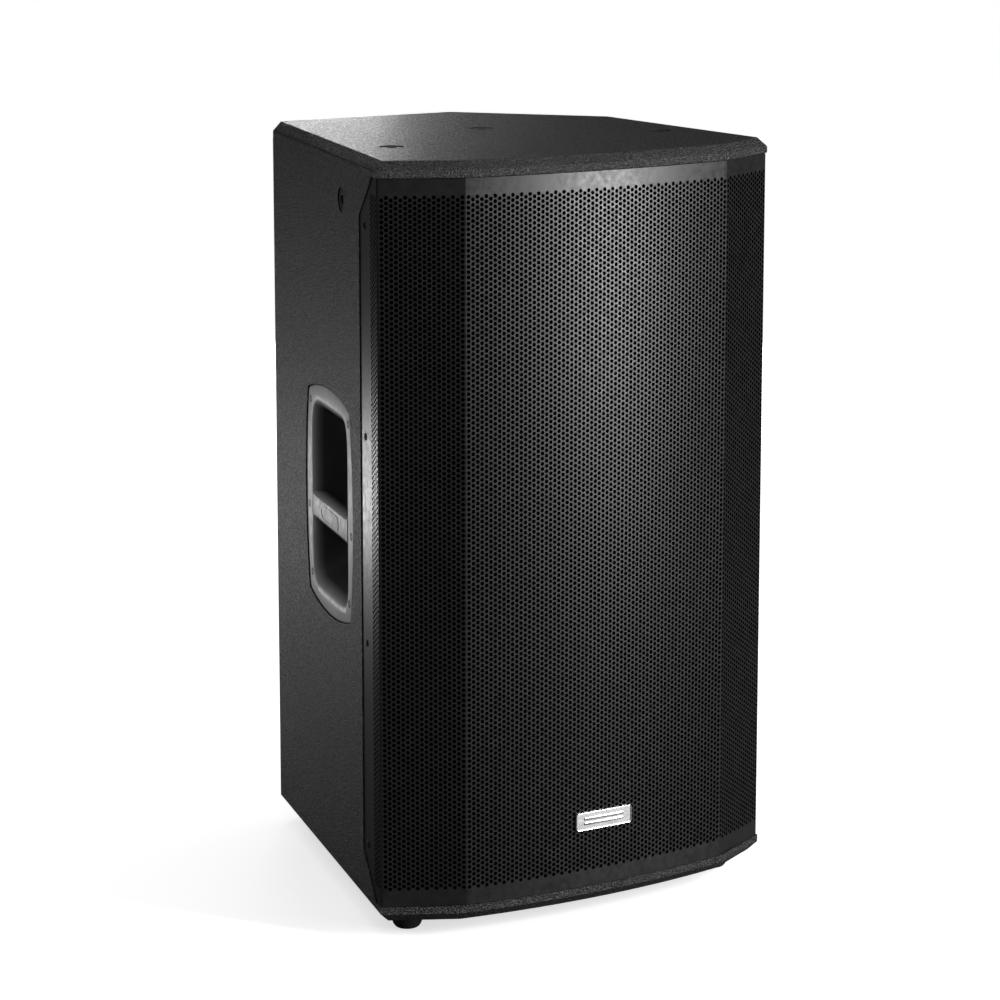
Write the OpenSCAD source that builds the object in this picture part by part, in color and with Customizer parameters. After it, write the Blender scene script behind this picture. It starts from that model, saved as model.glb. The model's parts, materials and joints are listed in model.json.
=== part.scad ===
// Multi-purpose 15 inch powered PA loudspeaker cabinet, in its upright position.
// Row frame: X to the right seen from the front, front faces -Y, Z up from the feet's undersides.
// The modules work in the cabinet's own frame, whose Y starts at the front corner line and whose
// Z starts at the underside of the wood, and placed() moves each of them into the row frame.

/* [Cabinet] */
// Height of the wooden cabinet without its feet
cabinet_h = 700; // [690:1:720]
// Width across the two front corners
front_w = 427; // [427:1:440]
// Width across the two rear corners
rear_w = 217; // [210:1:224]
// Depth from the front corner line to the rear edge
side_depth = 386; // [384:1:400]
// Angle of the monitor-side face from the front-to-back direction
monitor_angle = 40; // [38:1:41]
// Thickness of the plywood panels
ply = 15; // [15:0.5:15.5]
// Width of the cut along the side edges of the top and bottom
side_cut = 9; // [4:0.5:10]
// Width of the cut along the front edges of the top and bottom
front_cut = 8; // [4:0.5:10]

/* [Front] */
// Half the width of the bowed centre of the front
fold_x = 147; // [140:1:150]
// How far the folds stand forward of the front corner line
fold_y = 35; // [33:1:38]
// How far the middle bows forward of the folds
bow = 13; // [8:1:16]
// Thickness of the grille's steel sheet
sheet = 1.5; // [1:0.1:1.6]
// Length of the grille's flange back along each side
flange_len = 60; // [58:1:62]

/* [Handles] */
// Half the width of a handle's flange
handle_half_w = 91.5; // [88:0.5:92]
// Half the height of a handle's flange
handle_half_h = 110; // [106:0.5:112]
// Height of the handles' centres above the underside
handle_z = 358; // [350:1:370]
// Depth of a handle's cup behind the panel's face
cup_depth = 50; // [40:1:52]

/* [Drivers] */
// Height of the woofer's axis
woofer_z = 222; // [218:1:224]
// Height of the horn's axis
horn_z = 548; // [544:1:552]

/* [Fittings] */
// Height of the rubber feet
foot_h = 17; // [14:1:20]
// Radius of the pole socket's bore
pole_r = 17.7; // [17.6:0.1:18]
// Radius of the rigging points' threaded bores
rig_r = 4.25; // [4:0.05:4.3]

/* [Hidden] */
$fn = 64;
name_proud = 1.4;
half_w = front_w / 2;
rear_half = rear_w / 2;
taper = atan((half_w - rear_half) / side_depth);
bow_r = (fold_x * fold_x + bow * bow) / (2 * bow);
bow_cy = bow_r - fold_y - bow;
row_depth = side_depth + fold_y + bow + name_proud;
mid_y = side_depth - row_depth / 2;
facet = atan(fold_y / (half_w - fold_x));
inner_h = cabinet_h - 2 * ply;
slant_y = side_depth - (half_w - rear_half) / tan(monitor_angle);
slant_in_y = side_depth - (half_w - rear_half - ply + ply / cos(monitor_angle)) / tan(monitor_angle);
baffle_y = 8;
baffle_back = baffle_y + ply;
rear_recess = 22;
rear_out = side_depth - rear_recess;
rear_in = rear_out - ply;
grille_gap = 1;
gap = 0.3;
black = "#26272a";
textured = "#2e2f31";
steel = "#8d9094";

// X of the left side's face at depth y, moved inwards by inset
function left_x(y, inset = 0) = -half_w + y * tan(taper) + inset / cos(taper);
// X of the monitor-side face at depth y, moved inwards by inset
function slant_x(y, inset = 0) =
  rear_half + (side_depth - y) * tan(monitor_angle) - inset / cos(monitor_angle);
// Y on the right facet's line, moved inwards by inset, at position x
function facet_y(x, inset) = -(half_w - x) * tan(facet) + inset / cos(facet);
// Where the left facet and the left side meet, both moved inwards by inset
function left_corner_y(inset) =
  (inset / cos(facet) - inset * tan(facet) / cos(taper)) / (1 + tan(taper) * tan(facet));
module placed() {
  translate([0, -mid_y, foot_h]) children();
}

// Frames with X running back along a side, Y outwards from its face and Z up
module on_left_side() {
  translate([-half_w, 0, 0]) rotate([0, 0, 90 - taper]) children();
}
module on_right_side() {
  translate([half_w, 0, 0]) rotate([0, 0, 90]) mirror([0, 1, 0]) children();
}
// Driver frame: Z runs back from the baffle's front face
module driver_frame(x, z) {
  translate([x, baffle_y, z]) rotate([-90, 0, 0]) children();
}
// Amplifier frame: X and Y in the plate, Y up, Z out of the back
module amp_frame() {
  translate([3, rear_out, 400]) rotate([90, 0, 180]) children();
}

// Outline of the front down to y = back, moved inwards: the facets, their tip rounded off by the bow
module front_outline(inset, back) {
  ly = left_corner_y(inset);
  rx = half_w - inset;
  intersection() {
    translate([0, bow_cy]) circle(r = bow_r - inset, $fn = 360);
    polygon([[left_x(ly, inset), ly], [0, facet_y(0, inset)], [rx, facet_y(rx, inset)], [rx, back],
      [left_x(back, inset), back]]);
  }
}
module full_outline() {
  intersection() {
    translate([0, bow_cy]) circle(r = bow_r, $fn = 360);
    polygon([[-half_w, 0], [0, facet_y(0, 0)], [half_w, 0], [half_w, slant_y], [rear_half, side_depth],
      [-rear_half, side_depth]]);
  }
}

// Prism that cuts the edge from p to q at 45 degrees; the face is at z = 0 and the body left of the edge
module edge_cut(p, q, w) {
  length = norm(q - p);
  turn = atan2(q[1] - p[1], q[0] - p[0]);
  translate([p[0], p[1], 0]) rotate([0, 0, turn]) translate([-30, 0, 0])
    rotate([90, 0, 90]) linear_extrude(length + 60) cut_profile(0, w, 1);
}
// Section of a cut: inward is 1 where the body lies at larger x, and -1 where it lies at smaller x
module cut_profile(edge, w, inward) {
  past = 2;
  outer = edge - inward * past;
  polygon([[edge + inward * (w + past), past], [outer, -w - past], [outer, past]]);
}
// All the cuts round the rim of the top panel, whose upper face is at z = 0
module rim_cuts() {
  edge_cut([-half_w, 0], [-fold_x, -fold_y], front_cut);
  edge_cut([fold_x, -fold_y], [half_w, 0], front_cut);
  edge_cut([half_w, 0], [half_w, slant_y], side_cut);
  edge_cut([half_w, slant_y], [rear_half, side_depth], side_cut);
  edge_cut([-rear_half, side_depth], [-half_w, 0], side_cut);
  translate([0, bow_cy, 0]) rotate([0, 0, 270 - 12]) rotate_extrude(angle = 24, $fn = 360)
    cut_profile(bow_r, front_cut, -1);
}

// Rigging points: [x, y] on the top, and distance back and height on the sides
rig_top = [[-134, 108], [164, 108], [30, 217]];
rig_side_s = 126;
rig_side_z = 653;
insert_r = 8;
insert_flange_r = 11.5;
insert_fit = 0.1;
module insert_hole() {
  translate([0, 0, -ply - 1]) cylinder(r = insert_r + insert_fit, h = ply + 2);
  translate([0, 0, -2.2]) cylinder(r = insert_flange_r + insert_fit, h = 4);
}
module insert() {
  difference() {
    union() {
      translate([0, 0, -ply + 0.5]) cylinder(r = insert_r, h = ply - 2.7);
      translate([0, 0, -2.2]) cylinder(r = insert_flange_r, h = 1.2);
    }
    translate([0, 0, -ply - 1]) cylinder(r = rig_r, h = ply + 2);
    translate([0, 0, -1.8]) cylinder(r1 = rig_r, r2 = rig_r + 1.5, h = 1.5);
  }
}
module at_rig_points() {
  for (p = rig_top) translate([p[0], p[1], cabinet_h]) children();
  on_left_side() translate([rig_side_s, 0, rig_side_z]) rotate([-90, 0, 0]) children();
  on_right_side() translate([rig_side_s, 0, rig_side_z]) rotate([-90, 0, 0]) children();
}
module rigging_inserts() {
  color(steel) placed() at_rig_points() insert();
}

// Wooden panels
foot_at = [[-170.5, 25], [177.5, 25], [-80, 350], [88, 350]];
pole_at = [15, 205];
pole_screw_r = 33;
foot_screw_r = 2;

module top_panel() {
  color(textured) placed() difference() {
    translate([0, 0, cabinet_h - ply]) linear_extrude(ply) full_outline();
    translate([0, 0, cabinet_h]) rim_cuts();
    for (p = rig_top) translate([p[0], p[1], cabinet_h]) insert_hole();
  }
}
module bottom_panel() {
  color(textured) placed() difference() {
    linear_extrude(ply) full_outline();
    mirror([0, 0, 1]) rim_cuts();
    for (p = foot_at) translate([p[0], p[1], -1]) cylinder(r = foot_screw_r + 0.05, h = 12);
    translate([pole_at[0], pole_at[1], -1]) cylinder(r = 20, h = ply + 2);
    at_pole_screws() translate([0, 0, -1]) cylinder(r = 2.05, h = 13);
  }
}
// Region of a side that the grille's flange covers, seen square on: X back, Z up, with slanted ends
flange_slope_s = 14;
flange_slope_h = 38.5;
module flange_region(back, grow) {
  past = 6;
  rise = flange_slope_h / (back - flange_slope_s - grow);
  start = flange_slope_s + grow - past;
  low = ply - grow - past * rise;
  shoulder = ply - grow + flange_slope_h;
  rotate([90, 0, 0]) translate([0, 0, -40]) linear_extrude(100) polygon([[-40, low], [start, low],
    [back, shoulder], [back, cabinet_h - shoulder], [start, cabinet_h - low], [-40, cabinet_h - low]]);
}
// Rebate in the sides and the baffle's ends that the grille's flange lies in
rebate = grille_gap + sheet;
module left_rebate() {
  on_left_side() intersection() {
    flange_region(flange_len + 0.5, 0.2);
    translate([-20, -rebate, 0]) cube([100, 20, cabinet_h]);
  }
}
module right_rebate() {
  on_right_side() intersection() {
    flange_region(flange_len + 0.5, 0.2);
    translate([-20, -rebate, 0]) cube([100, 20, cabinet_h]);
  }
}

// Grille screws, in a side's frame
grille_screw_s = 45;
grille_screw_zs = [62, 254, 446, 638];
module at_grille_screws() {
  for (z = grille_screw_zs) {
    on_left_side() translate([grille_screw_s, -grille_gap, z]) rotate([-90, 0, 0]) children();
    on_right_side() translate([grille_screw_s, -grille_gap, z]) rotate([-90, 0, 0]) children();
  }
}
module at_pole_screws() {
  for (a = [45:90:315])
    translate([pole_at[0] + pole_screw_r * cos(a), pole_at[1] + pole_screw_r * sin(a), 0]) children();
}

left_handle_s = 183;
right_handle_s = 157;
module at_left_handle() {
  on_left_side() translate([left_handle_s, 0, handle_z]) children();
}
module at_right_handle() {
  on_right_side() translate([right_handle_s, 0, handle_z]) children();
}
side_arc_r = 437;
end_arc_r = 301;
// Barrel outline of a handle's flange, in X and Z
module handle_outline(grow = 0) {
  intersection() {
    translate([side_arc_r - handle_half_w, 0]) circle(r = side_arc_r + grow, $fn = 240);
    translate([-side_arc_r + handle_half_w, 0]) circle(r = side_arc_r + grow, $fn = 240);
    translate([0, end_arc_r - handle_half_h]) circle(r = end_arc_r + grow, $fn = 240);
    translate([0, -end_arc_r + handle_half_h]) circle(r = end_arc_r + grow, $fn = 240);
  }
}
// Extrudes an outline in X and Z from the face (y = top) inwards by depth
module inwards(top, depth) {
  translate([0, top, 0]) rotate([90, 0, 0]) linear_extrude(depth) children();
}
handle_flange_t = 3;
cup_half_w = 68;
cup_low = -98;
cup_high = 96;
wall = 2.5;
handle_screw_at = [[-73, 88], [73, 88], [-81, -16.5], [81, -16.5], [-72, -82.5], [72, -82.5]];
module handle_cutout() {
  inwards(1, handle_flange_t + 1) handle_outline(gap);
  inwards(1, ply + 3) translate([-cup_half_w - gap, cup_low - gap])
    square([2 * (cup_half_w + gap), cup_high - cup_low + 2 * gap]);
  for (p = handle_screw_at) translate([p[0], 1, p[1]]) rotate([90, 0, 0]) cylinder(r = 1.8, h = 14);
}
bar_low = -27.5;
bar_high = -3;
bar_t = 18;
// Handle: barrel flange, a cup with a scooped top and bottom, and the grip bar across it
module handle() {
  difference() {
    union() {
      inwards(0, handle_flange_t) handle_outline();
      inwards(0, cup_depth) translate([-cup_half_w, cup_low]) square([2 * cup_half_w, cup_high - cup_low]);
    }
    difference() {
      intersection() {
        inwards(1, cup_depth - wall + 1) translate([-cup_half_w + wall, cup_low + wall])
          square([2 * (cup_half_w - wall), cup_high - cup_low - 2 * wall]);
        scoop();
      }
      inwards(-1, bar_t) translate([-cup_half_w, bar_low]) square([2 * cup_half_w, bar_high - bar_low]);
    }
    for (p = handle_screw_at) translate([p[0], 0, p[1]]) rotate([90, 0, 0]) {
      translate([0, 0, -1]) cylinder(r = 2, h = 6);
      translate([0, 0, -0.01]) cylinder(r1 = 4.1, r2 = 2, h = 2.1);
    }
  }
}
// Rounded inner space of a cup: two rollers joined by a block
module scoop() {
  r = cup_depth - wall;
  for (z = [cup_low + wall + r, cup_high - wall - r])
    translate([-cup_half_w, 0, z]) rotate([0, 90, 0]) cylinder(r = r, h = 2 * cup_half_w);
  translate([-cup_half_w, -r, cup_low + wall + r])
    cube([2 * cup_half_w, r + 1, cup_high - cup_low - 2 * wall - 2 * r]);
  translate([-cup_half_w, -4, cup_low + wall]) cube([2 * cup_half_w, 6, cup_high - cup_low - 2 * wall]);
}
module left_handle() {
  color("#8f9194") placed() at_left_handle() handle();
}
module right_handle() {
  color("#8f9194") placed() at_right_handle() handle();
}
module handle_screw() {
  rotate([90, 0, 0]) {
    translate([0, 0, 0.3]) cylinder(r1 = 3.6, r2 = 1.7, h = 1.9);
    translate([0, 0, 2]) cylinder(r = 1.7, h = 10.5);
  }
}
module handle_screws() {
  color(black) placed() for (p = handle_screw_at) {
    at_left_handle() translate([p[0], 0, p[1]]) handle_screw();
    at_right_handle() translate([p[0], 0, p[1]]) handle_screw();
  }
}

module side_holes() {
  at_grille_screws() translate([0, 0, -14]) cylinder(r = 1.85, h = 20);
  on_left_side() translate([rig_side_s, 0, rig_side_z]) rotate([-90, 0, 0]) insert_hole();
  on_right_side() translate([rig_side_s, 0, rig_side_z]) rotate([-90, 0, 0]) insert_hole();
}
module left_side_panel() {
  color(textured) placed() difference() {
    translate([0, 0, ply]) linear_extrude(inner_h) polygon([
      [left_x(baffle_back), baffle_back], [left_x(side_depth), side_depth],
      [left_x(side_depth, ply), side_depth], [left_x(baffle_back, ply), baffle_back]]);
    left_rebate();
    at_left_handle() handle_cutout();
    side_holes();
  }
}
module right_side_panel() {
  color(textured) placed() difference() {
    translate([0, 0, ply]) linear_extrude(inner_h) polygon([
      [half_w, baffle_back], [half_w, slant_y], [half_w - ply, slant_in_y], [half_w - ply, baffle_back]]);
    right_rebate();
    at_right_handle() handle_cutout();
    side_holes();
  }
}
module monitor_side_panel() {
  color(textured) placed() translate([0, 0, ply]) linear_extrude(inner_h) polygon([
    [half_w, slant_y], [rear_half, side_depth], [slant_x(side_depth, ply), side_depth],
    [half_w - ply, slant_in_y]]);
}

// Amplifier plate and its cut-out, in the amplifier frame
plate_w = 180;
plate_h = 440;
plate_t = 3;
cutout_w = 150;
cutout_h = 410;
module at_plate_screws() {
  for (sx = [-1, 1]) {
    for (k = [-2:2]) translate([sx * (plate_w / 2 - 7), k * 106, 0]) children();
    translate([sx * 30, 0, 0]) for (sy = [-1, 1]) translate([0, sy * (plate_h / 2 - 7), 0]) children();
  }
}
module rear_panel() {
  color(textured) placed() difference() {
    translate([0, 0, ply]) linear_extrude(inner_h) polygon([
      [left_x(rear_in, ply), rear_in], [slant_x(rear_in, ply), rear_in],
      [slant_x(rear_out, ply), rear_out], [left_x(rear_out, ply), rear_out]]);
    amp_frame() {
      translate([-cutout_w / 2, -cutout_h / 2, -ply - 1]) cube([cutout_w, cutout_h, ply + 2]);
      at_plate_screws() translate([0, 0, -11]) cylinder(r = 1.85, h = 12);
    }
  }
}

woofer_screw_r = 184.5;
module at_woofer_screws() {
  driver_frame(0, woofer_z) for (a = [22.5:45:360])
    rotate([0, 0, a]) translate([woofer_screw_r, 0, 0]) children();
}
horn_half_w = 100;
horn_half_h = 115;
horn_screw_at = [[-93, -107], [0, -107], [93, -107], [-93, 0], [93, 0], [-93, 107], [0, 107], [93, 107]];
module at_horn_screws() {
  driver_frame(0, horn_z) for (p = horn_screw_at) translate([p[0], p[1], 0]) children();
}
port_x = 134.5;
port_dz = 50;
port_r = 32;
module at_ports() {
  for (sx = [-1, 1]) for (sz = [-1, 1]) driver_frame(sx * port_x, horn_z + sz * port_dz) children();
}
module front_baffle() {
  color(black) placed() difference() {
    translate([0, 0, ply]) linear_extrude(inner_h) polygon([
      [left_x(baffle_y), baffle_y], [half_w, baffle_y],
      [half_w, baffle_back], [left_x(baffle_back), baffle_back]]);
    left_rebate();
    right_rebate();
    driver_frame(0, woofer_z) translate([0, 0, -1]) cylinder(r = 176, h = ply + 2, $fn = 180);
    at_woofer_screws() translate([0, 0, -1]) cylinder(r = 2.3, h = 14);
    driver_frame(0, horn_z) translate([-86, -101, -1]) cube([172, 202, ply + 2]);
    at_horn_screws() translate([0, 0, -1]) cylinder(r = 1.85, h = 13);
    at_ports() translate([0, 0, -1]) cylinder(r = port_r + gap, h = ply + 2);
  }
}
// Wooden battens that hold the baffle to the sides
module corner_battens() {
  batten = 18;
  color("#a8845a") placed() translate([0, 0, ply]) linear_extrude(inner_h) {
    side_x = left_x(baffle_back, ply);
    rear_y = baffle_back + batten;
    polygon([[side_x, baffle_back], [left_x(rear_y, ply), rear_y], [side_x + batten, rear_y],
      [side_x + batten, baffle_back]]);
    translate([half_w - ply - batten, baffle_back]) square(batten);
  }
}
// Polyester wadding on the floor and the lower walls
module damping_wadding() {
  pad = 20;
  color("#c9c9c4") placed() {
    translate([-140, 50, ply]) cube([280, 120, pad]);
    on_left_side() translate([90, -ply - pad - gap, 60]) cube([230, pad, 170]);
    on_right_side() translate([60, -ply - pad - gap, 60]) cube([170, pad, 170]);
  }
}

// Grille: one bent steel sheet with a flange back along each side
grille_low = ply + gap;
grille_top = cabinet_h - ply - gap;
module grille() {
  color(black) placed() difference() {
    translate([0, 0, grille_low]) linear_extrude(grille_top - grille_low) difference() {
      front_outline(grille_gap, flange_len + 1);
      front_outline(grille_gap + sheet, flange_len + 10);
    }
    difference() {
      on_left_side() translate([-60, -40, 0]) cube([200, 60, cabinet_h]);
      on_left_side() flange_region(flange_len, -0.3);
      translate([-half_w + 20, -60, 0]) cube([front_w, 60, cabinet_h]);
    }
    difference() {
      on_right_side() translate([-60, -40, 0]) cube([200, 60, cabinet_h]);
      on_right_side() flange_region(flange_len, -0.3);
      translate([-half_w, -60, 0]) cube([front_w - 20, 60, cabinet_h]);
    }
    at_grille_screws() translate([0, 0, -5]) cylinder(r = 2.2, h = 10);
  }
}
// Thin acoustic foam behind the grille's front
module grille_foam() {
  foam_t = 3;
  color("#141414") placed() translate([0, 0, grille_low + 4]) linear_extrude(grille_top - grille_low - 8)
    difference() {
      front_outline(grille_gap + sheet, 20);
      front_outline(grille_gap + sheet + foam_t, 30);
      translate([-half_w, -4]) square([front_w, 50]);
    }
}
module grille_screws() {
  color(black) placed() at_grille_screws() {
    intersection() {
      translate([0, 0, -4.1]) sphere(r = 5);
      cylinder(r = 2.8, h = 3);
    }
    translate([0, 0, -13.5]) cylinder(r = 1.75, h = 13.6);
  }
}
// Plain name plate low on the bowed centre
plate_z = 78.5;
plate_half_w = 31;
plate_half_h = 8.7;
plate_corner = 3;
module nameplate() {
  face_r = bow_r - grille_gap;
  color("#c9cbcd") placed() translate([0, bow_cy, 0]) intersection() {
    difference() {
      cylinder(r = bow_r + name_proud, h = 150, $fn = 360);
      translate([0, 0, -1]) cylinder(r = face_r, h = 152, $fn = 360);
    }
    translate([0, -bow_r + 20, plate_z]) rotate([90, 0, 0]) linear_extrude(60) {
      square([2 * plate_half_w, 2 * (plate_half_h - plate_corner)], center = true);
      square([2 * (plate_half_w - plate_corner), 2 * plate_half_h], center = true);
      for (sx = [-1, 1]) for (sz = [-1, 1])
        translate([sx * (plate_half_w - plate_corner), sz * (plate_half_h - plate_corner)])
          circle(r = plate_corner, $fn = 32);
    }
  }
}

// Feet: tapered rubber with a rounded rim and a recess for the screw
foot_top_r = 14.5;
foot_tip_r = 8.5;
module foot() {
  difference() {
    rotate_extrude() {
      polygon([[0, 0], [foot_top_r, 0], [foot_top_r, -foot_h + 12], [foot_tip_r + 3, -foot_h + 2.5],
        [foot_tip_r, -foot_h], [0, -foot_h]]);
    }
    translate([0, 0, -foot_h - 1]) cylinder(r = 5, h = foot_h - 3);
    translate([0, 0, -foot_h - 1]) cylinder(r = foot_screw_r + 0.1, h = foot_h + 2);
  }
}
module feet() {
  color("#1a1a1a") placed() for (p = foot_at) translate([p[0], p[1], 0]) foot();
}
module foot_screws() {
  color(steel) placed() for (p = foot_at) translate([p[0], p[1], 0]) {
    translate([0, 0, -7]) cylinder(r = 4, h = 3);
    translate([0, 0, -4]) cylinder(r = foot_screw_r, h = 14);
  }
}
// Socket for a 35 mm pole
module pole_socket() {
  socket_h = 88;
  color(black) placed() translate([pole_at[0], pole_at[1], 0]) difference() {
    union() {
      translate([0, 0, -3]) cylinder(r = 40, h = 3);
      cylinder(r = 19.9, h = socket_h);
    }
    translate([0, 0, -4]) cylinder(r = pole_r, h = socket_h + 1);
    for (a = [45:90:315]) rotate([0, 0, a]) translate([pole_screw_r, 0, -4]) cylinder(r = 2.1, h = 5);
  }
}
module pole_socket_screws() {
  color(steel) placed() at_pole_screws() {
    translate([0, 0, -5]) cylinder(r = 3.6, h = 2);
    translate([0, 0, -3.1]) cylinder(r = 2, h = 14.5);
  }
}

// Woofer, in the driver frame: Z = 0 at the baffle's face
coil_r = 50;
module woofer_frame() {
  driver_frame(0, woofer_z) children();
}
module woofer_basket() {
  color("#3a3b3d") placed() woofer_frame() difference() {
    union() {
      rotate_extrude($fn = 120) polygon([[193, -6], [193, 0], [174, 0], [172, 6], [104, 96], [104, 100],
        [62, 100], [62, 97], [100, 97], [168, 4], [168, -6]]);
      rotate_extrude($fn = 120) polygon([[94, 76], [94, 79], [112, 79], [116, 76]]);
    }
    for (a = [0:45:359]) rotate([0, 0, a]) translate([100, -30, 22]) cube([80, 60, 46]);
    for (a = [22.5:45:360]) rotate([0, 0, a]) translate([woofer_screw_r, 0, -7]) cylinder(r = 2.6, h = 9);
    rotate([0, 0, 22.5]) translate([90, -9, 84]) cube([40, 18, 7]);
  }
}
module woofer_gasket() {
  color("#1c1c1c") placed() woofer_frame() translate([0, 0, -10]) difference() {
    cylinder(r = 180.5, h = 3.2, $fn = 120);
    translate([0, 0, -1]) cylinder(r = 169, h = 6, $fn = 120);
  }
}
roll_r = 7.8;
roll_t = 0.8;
roll_at = 159;
module woofer_surround() {
  color("#1f1f20") placed() woofer_frame() rotate_extrude($fn = 120) {
    translate([146, -6.3]) square([7, roll_t]);
    translate([165.4, -6.8]) square([14.6, roll_t]);
    translate([roll_at, -6.2]) difference() {
      circle(r = roll_r);
      circle(r = roll_r - roll_t);
      translate([-10, 0]) square([20, 12]);
    }
  }
}
module woofer_cone() {
  color("#2a2a2c") placed() woofer_frame() rotate_extrude($fn = 120)
    polygon([[152, -5.5], [146, -5.5], [50.3, 60], [50.3, 62], [51.5, 61.2], [147, -4.5], [152, -4.5]]);
}
module woofer_dust_cap() {
  base_r = 54;
  rise = 14;
  cap_r = (base_r * base_r + rise * rise) / (2 * rise);
  color("#232325") placed() woofer_frame() translate([0, 0, 56.2]) intersection() {
    translate([0, 0, cap_r - rise]) difference() {
      sphere(r = cap_r, $fn = 180);
      sphere(r = cap_r - 0.8, $fn = 180);
    }
    translate([0, 0, -rise - 1]) cylinder(r = base_r, h = rise + 1);
  }
}
module woofer_spider() {
  ridge = 1.2;
  color("#b58a3c") placed() woofer_frame() rotate_extrude($fn = 96) polygon(concat(
    [for (r = [50.4:1.5:92]) [r, 73.6 + ridge * sin((r - 50.4) * 45)]],
    [[94, 75.2], [104, 75.2], [104, 76], [93.5, 76]],
    [for (k = [0:27]) let (r = 90.9 - 1.5 * k) [r, 74.4 + ridge * sin((r - 50.4) * 45)]]));
}
module voice_coil() {
  color("#b3662b") placed() woofer_frame() difference() {
    union() {
      translate([0, 0, 58]) cylinder(r = coil_r + 0.1, h = 60, $fn = 96);
      translate([0, 0, 96]) cylinder(r = coil_r + 0.9, h = 20, $fn = 96);
    }
    translate([0, 0, 57]) cylinder(r = coil_r - 0.5, h = 62, $fn = 96);
  }
}
module ring(r_out, r_in, low, high) {
  translate([0, 0, low]) difference() {
    cylinder(r = r_out, h = high - low, $fn = 96);
    translate([0, 0, -1]) cylinder(r = r_in, h = high - low + 2, $fn = 96);
  }
}
module woofer_top_plate() {
  color(steel) placed() woofer_frame() ring(88, coil_r + 1.8, 100, 108);
}
module woofer_magnet() {
  color("#2b2b2e") placed() woofer_frame() ring(100, 62, 108, 128);
}
module woofer_back_plate() {
  color(steel) placed() woofer_frame() difference() {
    union() {
      translate([0, 0, 128]) cylinder(r = 95, h = 8, $fn = 96);
      translate([0, 0, 100]) cylinder(r = coil_r - 1.5, h = 29, $fn = 96);
    }
    translate([0, 0, 98]) cylinder(r = 15, h = 40);
  }
}
// Terminal block with two spade blades, in a window of the basket
module woofer_terminals() {
  color("#7a2f26") placed() woofer_frame() rotate([0, 0, 22.5]) {
    translate([103, -9, 84]) cube([14, 18, 7]);
    for (y = [-6, 3]) translate([117, y, 87]) cube([8, 3, 0.8]);
  }
}
module woofer_screws() {
  color(black) placed() at_woofer_screws() {
    translate([0, 0, -9]) cylinder(r = 3.8, h = 3);
    translate([0, 0, -6.1]) cylinder(r = 2.2, h = 18);
  }
}

// Horn flare, in steps [depth, half width, half height]
flare = [[0, 84, 99], [34, 54, 66], [70, 32, 34]];
throat_r = 18;
throat_at = 108;
module flare_step(s, grow) {
  translate([-s[1] - grow, -s[2] - grow, s[0]]) cube([2 * (s[1] + grow), 2 * (s[2] + grow), 0.5]);
}
module flare_body(grow) {
  for (k = [0:1]) hull() {
    flare_step(flare[k], grow);
    flare_step(flare[k + 1], grow);
  }
  hull() {
    flare_step(flare[2], grow);
    translate([0, 0, throat_at - 6]) cylinder(r = throat_r + grow, h = 6, $fn = 32);
  }
}
module horn() {
  color(black) placed() driver_frame(0, horn_z) difference() {
    union() {
      translate([-horn_half_w, -horn_half_h, -5]) cube([2 * horn_half_w, 2 * horn_half_h, 5]);
      intersection() {
        flare_body(1.8);
        translate([-85.5, -100.5, -1]) cube([171, 201, 200]);
      }
      translate([0, 0, throat_at - 6]) cylinder(r = 60, h = 6);
    }
    flare_body(-1.2);
    translate([-82.8, -97.8, -6]) cube([165.6, 195.6, 6.2]);
    translate([0, 0, throat_at - 8]) cylinder(r = throat_r, h = 10);
    for (p = horn_screw_at) translate([p[0], p[1], -6]) cylinder(r = 2.1, h = 7);
  }
}
module horn_screws() {
  color(black) placed() at_horn_screws() {
    translate([0, 0, -7.5]) cylinder(r = 3.5, h = 2.5);
    translate([0, 0, -5.1]) cylinder(r = 1.75, h = 16);
  }
}
module hf_frame() {
  driver_frame(0, horn_z) translate([0, 0, throat_at]) children();
}
module hf_front_plate() {
  color(steel) placed() hf_frame() ring(62, throat_r, 0, 7);
}
module hf_magnet() {
  color("#2b2b2e") placed() hf_frame() ring(66, 38, 7, 29);
}
module hf_back_plate() {
  color(steel) placed() hf_frame() difference() {
    union() {
      translate([0, 0, 29]) cylinder(r = 62, h = 6);
      translate([0, 0, 7]) cylinder(r1 = 20, r2 = 30, h = 22.5);
    }
    translate([0, 0, 6]) cylinder(r1 = throat_r - 1, r2 = 12, h = 32);
  }
}
module hf_diaphragm() {
  dome_r = 40;
  color("#b9bcc0") placed() hf_frame() translate([0, 0, 36.5]) {
    intersection() {
      translate([0, 0, -28]) difference() {
        sphere(r = dome_r, $fn = 96);
        sphere(r = dome_r - 0.6, $fn = 96);
      }
      cylinder(r = 28, h = 20);
    }
    ring(34, 27.9, 0, 0.6);
  }
}
module hf_rear_cap() {
  color(black) placed() hf_frame() difference() {
    translate([0, 0, 35]) cylinder(r = 60, h = 30);
    translate([0, 0, 34]) cylinder(r = 54, h = 26);
  }
}
module port_tubes() {
  color(black) placed() at_ports() difference() {
    union() {
      translate([0, 0, -2]) cylinder(r = port_r + 2, h = 2);
      cylinder(r = port_r, h = 90);
    }
    translate([0, 0, -3]) cylinder(r = port_r - 2, h = 95);
    translate([0, 0, -2.01]) cylinder(r1 = port_r, r2 = port_r - 2, h = 5);
  }
}

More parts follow.
